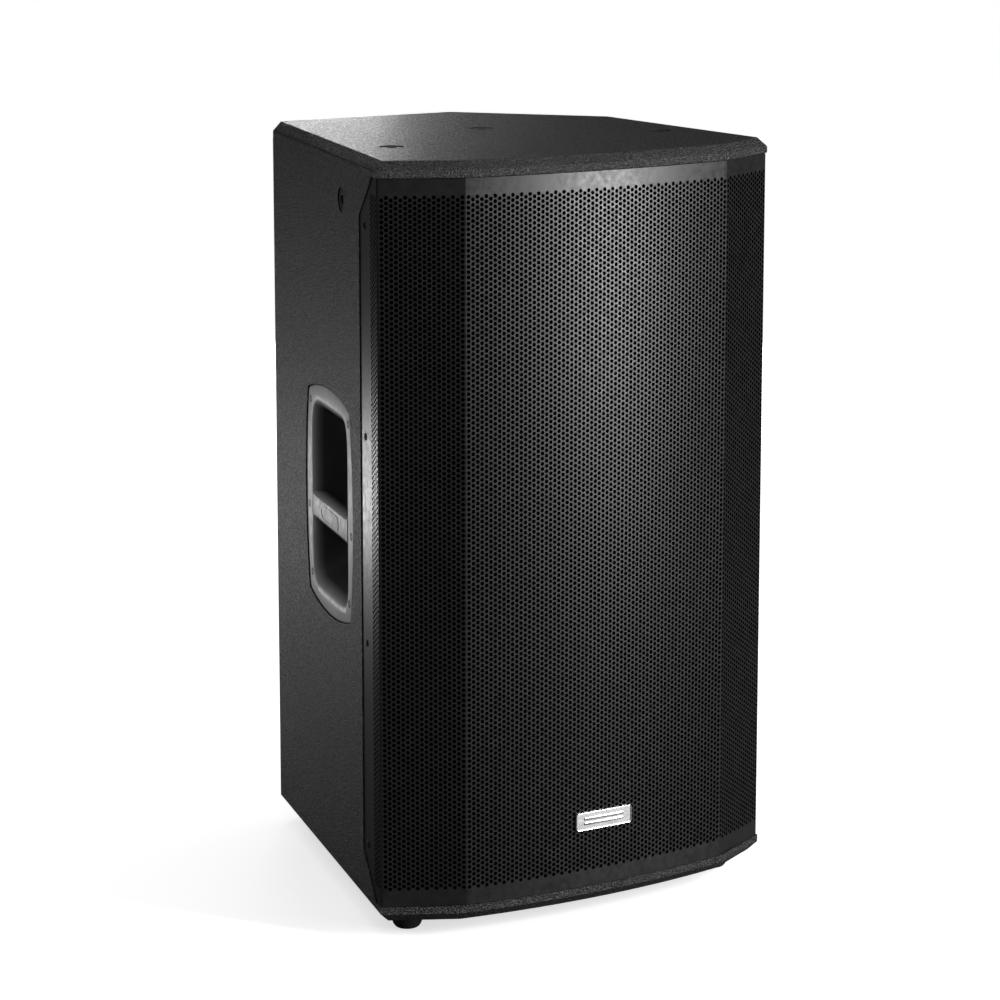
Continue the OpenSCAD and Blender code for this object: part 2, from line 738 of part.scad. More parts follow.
// Cables clipped inside the cabinet, swept along their routes
function cross3(a, b) = [a[1] * b[2] - a[2] * b[1], a[2] * b[0] - a[0] * b[2], a[0] * b[1] - a[1] * b[0]];
function unit(v) = v / norm(v);
function spline_at(p, k, t) =
  let (n = len(p) - 1, a = p[max(k - 1, 0)], b = p[k], c = p[min(k + 1, n)], d = p[min(k + 2, n)])
  0.5 * (2 * b + (c - a) * t + (2 * a - 5 * b + 4 * c - d) * t * t + (3 * b - a - 3 * c + d) * t * t * t);
function smooth(p, steps) =
  concat([for (k = [0:len(p) - 2]) for (s = [0:steps - 1]) spline_at(p, k, s / steps)], [p[len(p) - 1]]);
module cable(route, r, sides = 8) {
  path = smooth(route, 6);
  last = len(path) - 1;
  points = [for (k = [0:last])
    let (ahead = unit(path[min(k + 1, last)] - path[max(k - 1, 0)]),
         side = unit(cross3(ahead, [0.13, 0.21, 0.97])),
         up = cross3(side, ahead))
    for (s = [0:sides - 1]) path[k] + r * (cos(s * 360 / sides) * side + sin(s * 360 / sides) * up)];
  faces = concat([[for (s = [0:sides - 1]) s]],
    [for (k = [0:last - 1]) for (s = [0:sides - 1])
      [k * sides + s, (k + 1) * sides + s, (k + 1) * sides + (s + 1) % sides, k * sides + (s + 1) % sides]],
    [[for (s = [sides - 1:-1:0]) last * sides + s]]);
  polyhedron(points, faces, convexity = 6);
}
woofer_route = [[118, 95, 173], [127, 97, 170], [142, 120, 164], [150, 170, 172], [130, 225, 205],
  [90, 262, 262], [50, 285, 305], [30, 300, 323], [29, 308, 325]];
hf_route = [[20, 182, 556], [22, 190, 557], [30, 214, 545], [34, 250, 505], [20, 285, 455],
  [-6, 306, 424], [-19, 314, 411], [-20, 320, 409]];
module woofer_cable() {
  color("#a33b2f") placed() cable(woofer_route, 2.6);
}
module hf_cable() {
  color("#3f7d4c") placed() cable(hf_route, 2.2);
}

// Amplifier, in its own frame: X and Y across the plate, Z out of the back
knob_y = 40;
knob_x = 52;
knob_r = 9;
shaft_r = 3;
shaft_fit = 0.06;
button_at = [0, 42];
xlr_at = [[-52, -40], [0, -40]];
latch_at = [-52, -27.5];
inlet_at = [44, -168];
switch_at = [-44, -168];
switch_w = 22;
switch_h = 28;
lens_at = [[-20, 92], [0, 92], [20, 92]];
module amp_panel() {
  color("#2b2c2e") placed() amp_frame() difference() {
    translate([-plate_w / 2, -plate_h / 2, 0]) cube([plate_w, plate_h, plate_t]);
    at_plate_screws() translate([0, 0, -1]) cylinder(r = 2.2, h = 6);
    for (sx = [-1, 1]) translate([sx * knob_x, knob_y, -1]) cylinder(r = 4.2, h = 6);
    translate([button_at[0], button_at[1], -1]) cylinder(r = 4.4, h = 6);
    for (p = xlr_at) translate([p[0], p[1], -1]) cylinder(r = 12, h = 6);
    translate([inlet_at[0], inlet_at[1], -1]) cylinder(r = 13, h = 6);
    translate([switch_at[0] - switch_w / 2, switch_at[1] - switch_h / 2, -1]) cube([switch_w, switch_h, 6]);
    for (p = lens_at) translate([p[0], p[1], -1]) cylinder(r = 2.1, h = 6);
    latch_slot();
  }
}
module amp_panel_screws() {
  color(black) placed() amp_frame() {
    at_plate_screws() {
      translate([0, 0, plate_t]) cylinder(r = 3.6, h = 2.2);
      translate([0, 0, -10]) cylinder(r = 1.75, h = 13.1);
    }
  }
}
module heatsink() {
  fins = 15;
  sink_w = 152;
  sink_h = 104;
  color("#1e1f20") placed() amp_frame() translate([-sink_w / 2, 154 - sink_h / 2, plate_t]) {
    cube([sink_w, sink_h, 4]);
    for (k = [0:fins - 1]) translate([k * (sink_w - 2.4) / (fins - 1), 0, 4]) cube([2.4, sink_h, 12.5]);
  }
}
// Standoffs of the amplifier board and the supply board: [x, y, length]
standoff_at = [[-60, -100, 34], [60, -100, 34], [-60, 100, 34], [60, 100, 34],
  [-62, -190, 28.4], [62, -190, 28.4], [-62, -126, 28.4], [62, -126, 28.4]];
module board_standoffs() {
  color("#b89a4a") placed() amp_frame() for (p = standoff_at)
    translate([p[0], p[1], -p[2]]) cylinder(r = 3, h = p[2]);
}
module circuit_board() {
  color("#1f6b3a") placed() amp_frame() {
    translate([-66, -112, -35.6]) cube([132, 224, 1.6]);
    for (k = [0:3]) translate([-40 + 26 * k, 60, -46]) cylinder(r = 8, h = 10.4);
    translate([-50, 10, -45]) cube([34, 20, 9.4]);
    translate([10, -6, -41]) cube([30, 30, 5.4]);
    translate([-46, -92, -52]) cube([40, 34, 16.4]);
  }
}
module power_supply() {
  color("#c2a33a") placed() amp_frame() {
    translate([-66, -196, -30]) cube([132, 76, 1.6]);
    translate([-8, -190, -66]) cube([44, 44, 36]);
    for (k = [0:1]) translate([52, -180 + 30 * k, -62]) cylinder(r = 11, h = 32);
  }
}
// Round locking mains inlet
module power_inlet() {
  color("#3d5f9a") placed() amp_frame() translate([inlet_at[0], inlet_at[1], 0]) difference() {
    union() {
      translate([0, 0, -22]) cylinder(r = 12.8, h = 24);
      translate([-14, -16, plate_t]) cube([28, 32, 2.2]);
      translate([0, 0, plate_t - 1]) cylinder(r = 12.8, h = 6);
    }
    translate([0, 0, -8]) cylinder(r = 10, h = 30);
  }
}
module rocker_switch_frame() {
  color("#191919") placed() amp_frame() translate([switch_at[0], switch_at[1], 0]) difference() {
    union() {
      translate([-switch_w / 2 - 2, -switch_h / 2 - 2, plate_t]) cube([switch_w + 4, switch_h + 4, 2]);
      translate([-switch_w / 2 + 0.1, -switch_h / 2 + 0.1, -16]) cube([switch_w - 0.2, switch_h - 0.2, 20]);
    }
    translate([-switch_w / 2 + 2, -switch_h / 2 + 2, -10]) cube([switch_w - 4, switch_h - 4, 20]);
    translate([-switch_w / 2 - 3, 0, 0]) rotate([0, 90, 0]) cylinder(r = 1.56, h = switch_w + 6);
  }
}
rocker_tilt = 9;
module rocker() {
  color("#303134") placed() amp_frame() translate([switch_at[0], switch_at[1], 0])
    rotate([-rocker_tilt, 0, 0]) {
    intersection() {
      translate([-switch_w / 2 + 2.4, -10.5, -3]) cube([switch_w - 4.8, 21, 11]);
      translate([-switch_w / 2, 0, 22.5]) difference() {
        translate([0, -20, -30]) cube([switch_w, 40, 40]);
        rotate([0, 90, 0]) translate([0, 0, -1]) cylinder(r = 16, h = switch_w + 2);
      }
    }
    translate([-switch_w / 2 + 0.6, 0, 0]) rotate([0, 90, 0]) cylinder(r = 1.5, h = switch_w - 1.2);
  }
}
module level_pots() {
  color("#9a9c9f") placed() amp_frame() for (sx = [-1, 1])
    translate([sx * knob_x, knob_y, 0]) difference() {
    union() {
      translate([0, 0, -14]) cylinder(r = 8.5, h = 13.8);
      translate([0, 0, -1]) cylinder(r = 4.1, h = 7);
    }
    translate([0, 0, -11]) cylinder(r = shaft_r + shaft_fit, h = 20);
  }
}
module level_knob() {
  difference() {
    union() {
      translate([0, 0, 6.6]) cylinder(r = knob_r, h = 12);
      translate([0, 0, -10]) cylinder(r = shaft_r, h = 18);
    }
    for (a = [15:30:359]) rotate([0, 0, a]) translate([knob_r + 0.7, 0, 6]) cylinder(r = 1.4, h = 14);
    translate([-0.6, 3, 18]) cube([1.2, knob_r, 2]);
  }
}
module input_level_knob() {
  color("#3c3d40") placed() amp_frame() translate([-knob_x, knob_y, 0]) level_knob();
}
module master_level_knob() {
  color("#3c3d40") placed() amp_frame() translate([knob_x, knob_y, 0]) level_knob();
}
module preset_switch_body() {
  color("#55575a") placed() amp_frame() translate([button_at[0], button_at[1], 0]) difference() {
    translate([-6, -6, -12]) cube([12, 12, 11.8]);
    translate([0, 0, -9]) cylinder(r = 2.06, h = 12);
  }
}
module preset_button() {
  color("#b6b8ba") placed() amp_frame() translate([button_at[0], button_at[1], 0]) {
    translate([0, 0, 1.8]) cylinder(r = 4, h = 4.4);
    translate([0, 0, -6]) cylinder(r = 2, h = 8);
  }
}
// Two XLR connectors: an input with a latch tab and a link output with three pins
module xlr_shell(p) {
  translate([p[0], p[1], 0]) difference() {
    union() {
      translate([-13, -15.5, plate_t]) cube([26, 31, 2]);
      translate([0, 0, -20]) cylinder(r = 11.9, h = 24);
    }
    translate([0, 0, -14]) cylinder(r = 9.4, h = 30);
  }
}
module xlr_connectors() {
  color("#8a8c8f") placed() amp_frame() {
    difference() {
      union() {
        xlr_shell(xlr_at[0]);
        translate([xlr_at[0][0], xlr_at[0][1], -14.5]) cylinder(r = 7.6, h = 17);
      }
      for (a = [90, 210, 330]) translate([xlr_at[0][0], xlr_at[0][1], -4]) rotate([0, 0, a])
        translate([4, 0, 0]) cylinder(r = 1.4, h = 8);
      latch_slot();
    }
    xlr_shell(xlr_at[1]);
    for (a = [30, 150, 270]) translate([xlr_at[1][0], xlr_at[1][1], -13.95]) rotate([0, 0, a])
      translate([4, 0, 0]) cylinder(r = 1.2, h = 12.5);
  }
}
module latch_slot() {
  translate([latch_at[0] - 3.4, latch_at[1] - 2.2, -9]) cube([6.8, 3.6, 20]);
}
module xlr_latch() {
  color("#c6c8ca") placed() amp_frame()
    translate([latch_at[0] - 3, latch_at[1] - 1.8, -6.5]) cube([6, 2.8, 14.5]);
}
module status_lenses() {
  color("#7fd08a") placed() amp_frame() for (p = lens_at) translate([p[0], p[1], 0]) {
    translate([0, 0, -2]) cylinder(r = 2, h = 5);
    translate([0, 0, 3]) intersection() {
      sphere(r = 2);
      cylinder(r = 2, h = 2);
    }
  }
}

top_panel();
bottom_panel();
left_side_panel();
right_side_panel();
monitor_side_panel();
rear_panel();
front_baffle();
corner_battens();
damping_wadding();
grille();
grille_foam();
grille_screws();
nameplate();
left_handle();
right_handle();
handle_screws();
feet();
foot_screws();
rigging_inserts();
pole_socket();
pole_socket_screws();
woofer_basket();
woofer_gasket();
woofer_surround();
woofer_cone();
woofer_dust_cap();
woofer_spider();
voice_coil();
woofer_top_plate();
woofer_magnet();
woofer_back_plate();
woofer_terminals();
woofer_screws();
horn();
horn_screws();
hf_front_plate();
hf_magnet();
hf_back_plate();
hf_diaphragm();
hf_rear_cap();
port_tubes();
woofer_cable();
hf_cable();
amp_panel();
amp_panel_screws();
heatsink();
circuit_board();
board_standoffs();
power_supply();
power_inlet();
rocker_switch_frame();
rocker();
level_pots();
input_level_knob();
master_level_knob();
preset_switch_body();
preset_button();
xlr_connectors();
xlr_latch();
status_lenses();
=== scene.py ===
"""Looks of the PA loudspeaker cabinet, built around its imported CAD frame. Metres, Z up, front at -Y."""

import json
import math

import bpy
import numpy as np
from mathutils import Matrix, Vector, noise


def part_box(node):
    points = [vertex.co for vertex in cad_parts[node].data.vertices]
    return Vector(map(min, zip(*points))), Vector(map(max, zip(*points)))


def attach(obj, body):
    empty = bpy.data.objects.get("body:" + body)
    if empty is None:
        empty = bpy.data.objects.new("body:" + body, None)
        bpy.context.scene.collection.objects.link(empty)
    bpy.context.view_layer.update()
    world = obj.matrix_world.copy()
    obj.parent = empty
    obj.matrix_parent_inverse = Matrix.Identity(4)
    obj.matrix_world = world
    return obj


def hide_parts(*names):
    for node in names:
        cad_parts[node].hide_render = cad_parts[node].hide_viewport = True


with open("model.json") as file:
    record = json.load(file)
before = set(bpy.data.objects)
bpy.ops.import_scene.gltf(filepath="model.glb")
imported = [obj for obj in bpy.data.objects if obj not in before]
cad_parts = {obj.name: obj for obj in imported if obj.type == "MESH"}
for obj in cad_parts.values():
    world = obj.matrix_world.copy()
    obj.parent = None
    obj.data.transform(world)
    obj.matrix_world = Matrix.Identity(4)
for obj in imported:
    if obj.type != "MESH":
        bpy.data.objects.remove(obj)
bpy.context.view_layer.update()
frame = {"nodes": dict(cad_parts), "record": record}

MM = 0.001

# ---- Measures of the cabinet: from the frame or, where it doesn't give them, the same as the CAD's ----
wood_low, wood_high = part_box("bottom_panel")
grille_low, grille_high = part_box("grille")
HALF_W = wood_high.x
BAFFLE_SETBACK = 8 * MM  # from the line through the two front corners to the baffle's face
CORNER_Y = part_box("front_baffle")[0].y - BAFFLE_SETBACK
REAR_Y = wood_high.y
REAR_HALF = 108.5 * MM
TAPER = math.atan((HALF_W - REAR_HALF) / (REAR_Y - CORNER_Y))
FOLD_X = 147 * MM  # a facet of the front ends here
FOLD_Y = 35 * MM  # and this far in front of the corner line
BOW = CORNER_Y - wood_low.y - FOLD_Y  # rise of the bowed middle between the folds
BOW_R = (FOLD_X**2 + BOW**2) / (2 * BOW)
BOW_CENTRE_Y = wood_low.y + BOW_R
FACET = math.atan(FOLD_Y / (HALF_W - FOLD_X))
INSET = 1 * MM  # the grille's face lies this far behind the wood's outline
SHEET = 1.5 * MM


class Side:
    """A side of the cabinet: distance s back from its front corner, depth in from its face, and height."""

    def __init__(self, name, sign, taper):
        self.name = name
        self.sign = sign
        self.along = np.array([-sign * math.sin(taper), math.cos(taper), 0])
        self.out = np.array([sign * math.cos(taper), math.sin(taper), 0])
        self.corner = np.array([sign * HALF_W, CORNER_Y, 0])

    def place(self, s, depth, z):
        s, depth, z = np.broadcast_arrays(s, depth, z)
        flat = self.corner + s[..., None] * self.along - depth[..., None] * self.out
        flat[..., 2] = z
        return flat


LEFT = Side("left", -1, TAPER)
RIGHT = Side("right", 1, 0)


# ---- Mesh tools ----
SHARP = math.radians(38)  # an edge that turns by more than this stays sharp


def link_piece(name, mesh, slot, replaces=()):
    """An object of a finished mesh that rides on the cabinet."""
    piece = bpy.data.objects.new(name, mesh)
    bpy.context.scene.collection.objects.link(piece)
    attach(piece, "cabinet")
    mesh.materials.append(MATERIALS[slot])
    if replaces:
        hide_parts(*replaces)
    return piece


def shade_smooth(mesh):
    mesh.polygons.foreach_set("use_smooth", [True] * len(mesh.polygons))


def make_piece(name, verts, faces, slot, replaces=()):
    """A piece from vertices and faces, smooth but for its sharp edges."""
    mesh = bpy.data.meshes.new(name)
    mesh.from_pydata([tuple(v) for v in verts], [], faces)
    shade_smooth(mesh)
    mesh.set_sharp_from_angle(angle=SHARP)
    return link_piece(name, mesh, slot, replaces)


class Mesh:
    """Gathers rings and their faces into one vertex list."""

    def __init__(self):
        self.verts = []
        self.faces = []

    def ring(self, points):
        start = len(self.verts)
        self.verts.extend(np.asarray(points, float))
        return range(start, len(self.verts))

    def bridge(self, a, b):
        n = len(a)
        self.faces += [(a[k], a[(k + 1) % n], b[(k + 1) % n], b[k]) for k in range(n)]

    def cap(self, ring, flip=False):
        self.faces.append(tuple(reversed(ring)) if flip else tuple(ring))

    def loft(self, rings):
        """A closed body. Rings run anticlockwise seen from the end that it grows towards."""
        made = [self.ring(r) for r in rings]
        for a, b in zip(made, made[1:]):
            self.bridge(a, b)
        self.cap(made[0], flip=True)
        self.cap(made[-1])


def turn(n):
    """n angles round a full turn."""
    return np.arange(n) * 2 * math.pi / n


def circle(r, z, n):
    a = turn(n)
    return np.stack([r * np.cos(a), r * np.sin(a), np.full(n, z)], 1)


def hexagon(apothem, z, n):
    a = turn(n)
    r = apothem / np.cos((a + math.pi / 6) % (math.pi / 3) - math.pi / 6)
    return np.stack([r * np.cos(a), r * np.sin(a), np.full(n, z)], 1)


def frame_from(axis):
    """A turn that takes +Z to axis."""
    return np.array(Vector((0, 0, 1)).rotation_difference(Vector(axis)).to_matrix())


def islands(node):
    """The points of each separate solid of a CAD node."""
    mesh = frame["nodes"][node].data
    co = np.zeros(len(mesh.vertices) * 3, np.float32)
    mesh.vertices.foreach_get("co", co)
    co = co.reshape(-1, 3).astype(float)
    merged = {}
    same = np.array([merged.setdefault(tuple(np.round(p, 5)), k) for k, p in enumerate(co)])
    edges = np.zeros(len(mesh.edges) * 2, np.int32)
    mesh.edges.foreach_get("vertices", edges)
    edges = same[edges].reshape(-1, 2)
    label = same.copy()
    while True:
        lowest = np.minimum(label[edges[:, 0]], label[edges[:, 1]])
        before = label.copy()
        np.minimum.at(label, edges[:, 0], lowest)
        np.minimum.at(label, edges[:, 1], lowest)
        label = label[label]
        if (label == before).all():
            break
    label = label[same]
    return [co[label == k] for k in np.unique(label)]


# ---- Materials ----
WAVE_LENGTH = 0.314  # a wave texture of scale 1 repeats after this length


class Nodes:
    """A small builder for one Principled material on object coordinates, in metres."""

    def __init__(self, name, metallic=0.0, specular=0.5, coat=0.0, sheen=0.0):
        self.material = bpy.data.materials.new(name)
        self.material.use_nodes = True
        self.tree = self.material.node_tree
        self.shader = self.tree.nodes["Principled BSDF"]
        self.shader.inputs["Metallic"].default_value = metallic
        self.shader.inputs["Specular IOR Level"].default_value = specular
        self.shader.inputs["Coat Weight"].default_value = coat
        self.shader.inputs["Sheen Weight"].default_value = sheen
        self.position = self.add("ShaderNodeTexCoord").outputs["Object"]
        self.normal = None

    def add(self, kind, **values):
        node = self.tree.nodes.new(kind)
        for key, value in values.items():
            setattr(node, key, value)
        return node

    def link(self, source, target):
        self.tree.links.new(source, target)

    def stretched(self, scale):
        node = self.add("ShaderNodeMapping")
        node.inputs["Scale"].default_value = scale
        self.link(self.position, node.inputs["Vector"])
        return node.outputs["Vector"]

    def noise(self, size, detail=4, rough=0.55, vector=None):
        node = self.add("ShaderNodeTexNoise")
        node.inputs["Scale"].default_value = 1 / size
        node.inputs["Detail"].default_value = detail
        node.inputs["Roughness"].default_value = rough
        self.link(vector or self.position, node.inputs["Vector"])
        return node.outputs["Fac"]

    def cells(self, size, feature="F1"):
        node = self.add("ShaderNodeTexVoronoi", feature=feature)
        node.inputs["Scale"].default_value = 1 / size
        self.link(self.position, node.inputs["Vector"])
        return node.outputs["Distance"]

    def waves(self, size, direction, distortion=0.0):
        node = self.add("ShaderNodeTexWave", wave_type="BANDS", bands_direction=direction)
        node.inputs["Scale"].default_value = WAVE_LENGTH / size
        node.inputs["Distortion"].default_value = distortion
        node.inputs["Detail Scale"].default_value = 1.5
        self.link(self.position, node.inputs["Vector"])
        return node.outputs["Fac"]

    def math(self, operation, a, b):
        node = self.add("ShaderNodeMath", operation=operation)
        for socket, value in zip(node.inputs, (a, b)):
            if isinstance(value, (int, float)):
                socket.default_value = value
            else:
                self.link(value, socket)
        return node.outputs[0]

    def ramp(self, source, low, high, start=0.3, end=0.7):
        """Turns a pattern into values from low to high, which are numbers or colours."""
        node = self.add("ShaderNodeMapRange")
        node.inputs["From Min"].default_value = start
        node.inputs["From Max"].default_value = end
        self.link(source, node.inputs["Value"])
        if isinstance(low, (int, float)):
            node.inputs["To Min"].default_value = low
            node.inputs["To Max"].default_value = high
            return node.outputs["Result"]
        mix = self.add("ShaderNodeMix", data_type="RGBA")
        mix.inputs[6].default_value = (*low, 1)
        mix.inputs[7].default_value = (*high, 1)
        self.link(node.outputs["Result"], mix.inputs["Factor"])
        return mix.outputs[2]

    def colour(self, source):
        self.link(source, self.shader.inputs["Base Color"])

    def roughness(self, source):
        self.link(source, self.shader.inputs["Roughness"])

    def bump(self, source, height, strength=1.0):
        node = self.add("ShaderNodeBump")
        node.inputs["Distance"].default_value = height
        node.inputs["Strength"].default_value = strength
        self.link(source, node.inputs["Height"])
        if self.normal:
            self.link(self.normal, node.inputs["Normal"])
        self.normal = node.outputs["Normal"]
        self.link(self.normal, self.shader.inputs["Normal"])


PIMPLE = 1.4 * MM
PIMPLE_RELIEF = 1.8 * MM


def grey(value):
    return (value, value, value)


def textured_paint(name, dark, light, rough=0.42):
    """Structured black paint: glossy pimples about a millimetre across, painted paler where they stand up as
    a painted glint on their tops.
    """
    m = Nodes(name, specular=0.5)
    pimples = m.noise(PIMPLE, detail=2, rough=0.6)
    # painted highlight: the pimples' raised tops get the paler colour, a painted glint
    m.colour(m.ramp(pimples, grey(dark), grey(light), 0.47, 0.65))
    m.roughness(m.ramp(m.noise(2.6 * MM), rough - 0.12, rough + 0.14, 0.4, 0.6))
    m.bump(pimples, PIMPLE_RELIEF, 1.0)
    m.bump(m.noise(30 * MM, detail=2), 0.6 * MM, 0.3)
    return m.material


def coated_metal(name, dark, light, rough, specular=0.5, metallic=0.0, grain=0.5 * MM,
                 relief=0.03 * MM):
    """Powder coat or plating: a faint orange peel and slow changes of tone."""
    m = Nodes(name, metallic=metallic, specular=specular)
    m.colour(m.ramp(m.noise(14 * MM), dark, light))
    m.roughness(m.ramp(m.noise(6 * MM), rough - 0.05, rough + 0.08))
    m.bump(m.noise(grain, detail=2), relief, 0.5)
    return m.material


def moulded_plastic(name, dark, light, rough, grain=0.35 * MM, relief=0.03 * MM, specular=0.5):
    """Injection-moulded plastic with a fine eroded grain."""
    m = Nodes(name, specular=specular)
    m.colour(m.ramp(m.noise(22 * MM), dark, light))
    m.roughness(m.ramp(m.noise(9 * MM), rough - 0.05, rough + 0.07))
    m.bump(m.cells(grain), relief, 0.5)
    return m.material


def brushed_metal(name, dark, light, rough, scale=(40, 40, 1600)):
    """Metal brushed along the long way of its stretched noise."""
    m = Nodes(name, metallic=1.0)
    strokes = m.noise(1, detail=3, vector=m.stretched(scale))
    m.colour(m.ramp(strokes, dark, light))
    m.roughness(m.ramp(strokes, rough - 0.06, rough + 0.1))
    m.bump(strokes, 0.01 * MM, 0.4)
    return m.material


def turned_metal(name, dark, light, rough, pitch):
    """Turned or drawn metal with fine lines across Y."""
    m = Nodes(name, metallic=1.0)
    lines = m.waves(pitch, "Y", distortion=0.4)
    m.colour(m.ramp(m.math("MULTIPLY", lines, m.noise(5 * MM)), dark, light, 0.1, 0.6))
    m.roughness(m.ramp(m.noise(4 * MM), rough - 0.05, rough + 0.1))
    m.bump(lines, 0.02 * MM, 0.5)
    return m.material


def bare_plywood(name):
    m = Nodes(name, specular=0.3)
    grain = m.noise(1, detail=6, vector=m.stretched((260, 260, 9)))
    m.colour(m.ramp(grain, (0.36, 0.23, 0.11), (0.62, 0.45, 0.27)))
    m.roughness(m.ramp(grain, 0.55, 0.75))
    m.bump(grain, 0.15 * MM, 0.6)
    return m.material


def woven(name, dark, light, pitch):
    """Two crossing sets of threads."""
    m = Nodes(name, specular=0.3, sheen=0.3)
    threads = m.math("MAXIMUM", m.waves(pitch, "X"), m.waves(pitch, "Z"))
    m.colour(m.ramp(m.math("MULTIPLY", threads, m.noise(3 * MM)), dark, light, 0.1, 0.6))
    m.roughness(m.ramp(m.noise(4 * MM), 0.72, 0.88))
    m.bump(threads, 0.12 * MM, 0.7)
    return m.material


def paper_cone(name):
    m = Nodes(name, specular=0.25)
    pulp = m.noise(1.2 * MM, detail=6, rough=0.7)
    m.colour(m.ramp(pulp, grey(0.012), grey(0.035)))
    m.roughness(m.ramp(pulp, 0.75, 0.95))
    m.bump(pulp, 0.25 * MM, 0.7)
    return m.material


def open_cell_foam(name):
    m = Nodes(name, specular=0.05)
    cells = m.cells(0.9 * MM)
    m.colour(m.ramp(cells, grey(0.004), grey(0.0008), 0.1, 0.6))
    m.roughness(m.ramp(m.noise(5 * MM), 0.85, 1.0))
    m.bump(cells, 0.5 * MM, 0.8)
    return m.material


def fibre_wadding(name):
    m = Nodes(name, specular=0.2, sheen=0.5)
    fibres = m.noise(1, detail=8, rough=0.75, vector=m.stretched((700, 160, 520)))
    m.colour(m.ramp(fibres, (0.5, 0.5, 0.48), (0.8, 0.8, 0.78)))
    m.roughness(m.ramp(fibres, 0.8, 1.0))
    m.bump(fibres, 1.2 * MM, 0.8)
    return m.material


def circuit(name):
    m = Nodes(name, specular=0.5, coat=0.3)
    tracks = m.math("LESS_THAN", m.cells(5 * MM, "DISTANCE_TO_EDGE"), 0.06)
    m.colour(m.ramp(tracks, (0.01, 0.10, 0.035), (0.03, 0.20, 0.08), 0.0, 1.0))
    m.roughness(m.ramp(m.noise(6 * MM), 0.25, 0.45))
    m.bump(tracks, 0.04 * MM, 0.8)
    return m.material


def clear_lens(name):
    m = Nodes(name, specular=0.6, coat=0.5)
    m.colour(m.ramp(m.noise(1.5 * MM), (0.10, 0.42, 0.14), (0.20, 0.60, 0.24)))
    m.roughness(m.ramp(m.noise(2 * MM), 0.08, 0.2))
    m.bump(m.noise(1 * MM), 0.02 * MM, 0.3)
    return m.material


def handle_plastic(name):
    """Grey moulded plastic. The handle's mesh says how deep in the cup a point lies: the colour darkens
    there, a painted shade in the recess.
    """
    m = Nodes(name, specular=0.45)
    surface = m.ramp(m.noise(26 * MM), grey(0.33), grey(0.40))
    depth = m.add("ShaderNodeAttribute", attribute_name="cup_depth")
    mix = m.add("ShaderNodeMix", data_type="RGBA")
    m.link(depth.outputs["Fac"], mix.inputs["Factor"])
    m.link(surface, mix.inputs[6])
    # the darkest colour of the cup's painted shade
    mix.inputs[7].default_value = (*grey(0.045), 1)
    m.colour(mix.outputs[2])
    m.roughness(m.ramp(m.noise(8 * MM), 0.38, 0.5))
    m.bump(m.noise(0.7 * MM, detail=2), 0.02 * MM, 0.4)
    return m.material


MATERIALS = {
    "painted_plywood": textured_paint("painted_plywood", 0.002, 0.085),
    "baffle_paint": textured_paint("baffle_paint", 0.006, 0.03, 0.6),
    "bare_wood": bare_plywood("bare_wood"),
    "grille_steel": coated_metal("grille_steel", grey(0.009), grey(0.015), 0.34),
    "foam": open_cell_foam("foam"),
    "wadding": fibre_wadding("wadding"),
    "handle_plastic": handle_plastic("handle_plastic"),
    "black_plastic": moulded_plastic("black_plastic", grey(0.012), grey(0.022), 0.42),
    "rubber": moulded_plastic("rubber", grey(0.014), grey(0.028), 0.7, 0.8 * MM, 0.05 * MM, 0.35),
    "steel": brushed_metal("steel", grey(0.42), grey(0.60), 0.34, (900, 900, 60)),
    "black_screws": coated_metal("black_screws", grey(0.004), grey(0.012), 0.5, specular=0.35),
    "nameplate_metal": brushed_metal("nameplate_metal", grey(0.80), grey(0.95), 0.34, (60, 60, 2600)),
    "basket": coated_metal("basket", grey(0.03), grey(0.06), 0.45, grain=1.2 * MM, relief=0.1 * MM),
    "magnet": coated_metal("magnet", grey(0.03), grey(0.055), 0.6, grain=1 * MM, relief=0.1 * MM),
    "cone": paper_cone("cone"),
    "cloth_surround": woven("cloth_surround", grey(0.010), grey(0.03), 0.9 * MM),
    "spider_cloth": woven("spider_cloth", (0.35, 0.22, 0.06), (0.58, 0.40, 0.14), 0.8 * MM),
    "copper": turned_metal("copper", (0.55, 0.22, 0.09), (0.85, 0.42, 0.20), 0.3, 0.4 * MM),
    "titanium": brushed_metal("titanium", grey(0.45), grey(0.62), 0.28, (500, 500, 500)),
    "pcb": circuit("pcb"),
    "standoff_brass": turned_metal("standoff_brass", (0.5, 0.34, 0.10), (0.76, 0.58, 0.24), 0.3, 0.6 * MM),
    "inlet_plastic": moulded_plastic("inlet_plastic", (0.02, 0.06, 0.24), (0.03, 0.09, 0.32), 0.38),
    "lens": clear_lens("lens"),
    "light_plastic": moulded_plastic("light_plastic", grey(0.42), grey(0.50), 0.42),
    "cable_red": moulded_plastic("cable_red", (0.32, 0.03, 0.02), (0.42, 0.06, 0.04), 0.42),
    "cable_green": moulded_plastic("cable_green", (0.04, 0.2, 0.07), (0.07, 0.28, 0.10), 0.42),
    "amp_plate": coated_metal("amp_plate", grey(0.016), grey(0.026), 0.42, grain=0.8 * MM, relief=0.06 * MM),
    "heatsink_metal": brushed_metal("heatsink_metal", grey(0.028), grey(0.05), 0.42, (50, 50, 1800)),
}


# ---- CAD nodes that stay: soft edges and their slot's material ----
EDGE_WIDTH = {"painted_plywood": 1.0 * MM, "black_plastic": 0.4 * MM, "amp_plate": 0.4 * MM}
FINE_EDGE = 0.25 * MM
WELD_GAP = 0.01 * MM
BEVEL_FROM = math.radians(32)
NODE_LOOKS = {"rigging_inserts": coated_metal("dark_steel", grey(0.03), grey(0.06), 0.4, metallic=0.8)}
NO_BEVEL = ("woofer_cable", "hf_cable", "woofer_spider", "woofer_surround", "woofer_cone", "voice_coil",
            "hf_diaphragm", "woofer_dust_cap", "horn", "status_lenses")


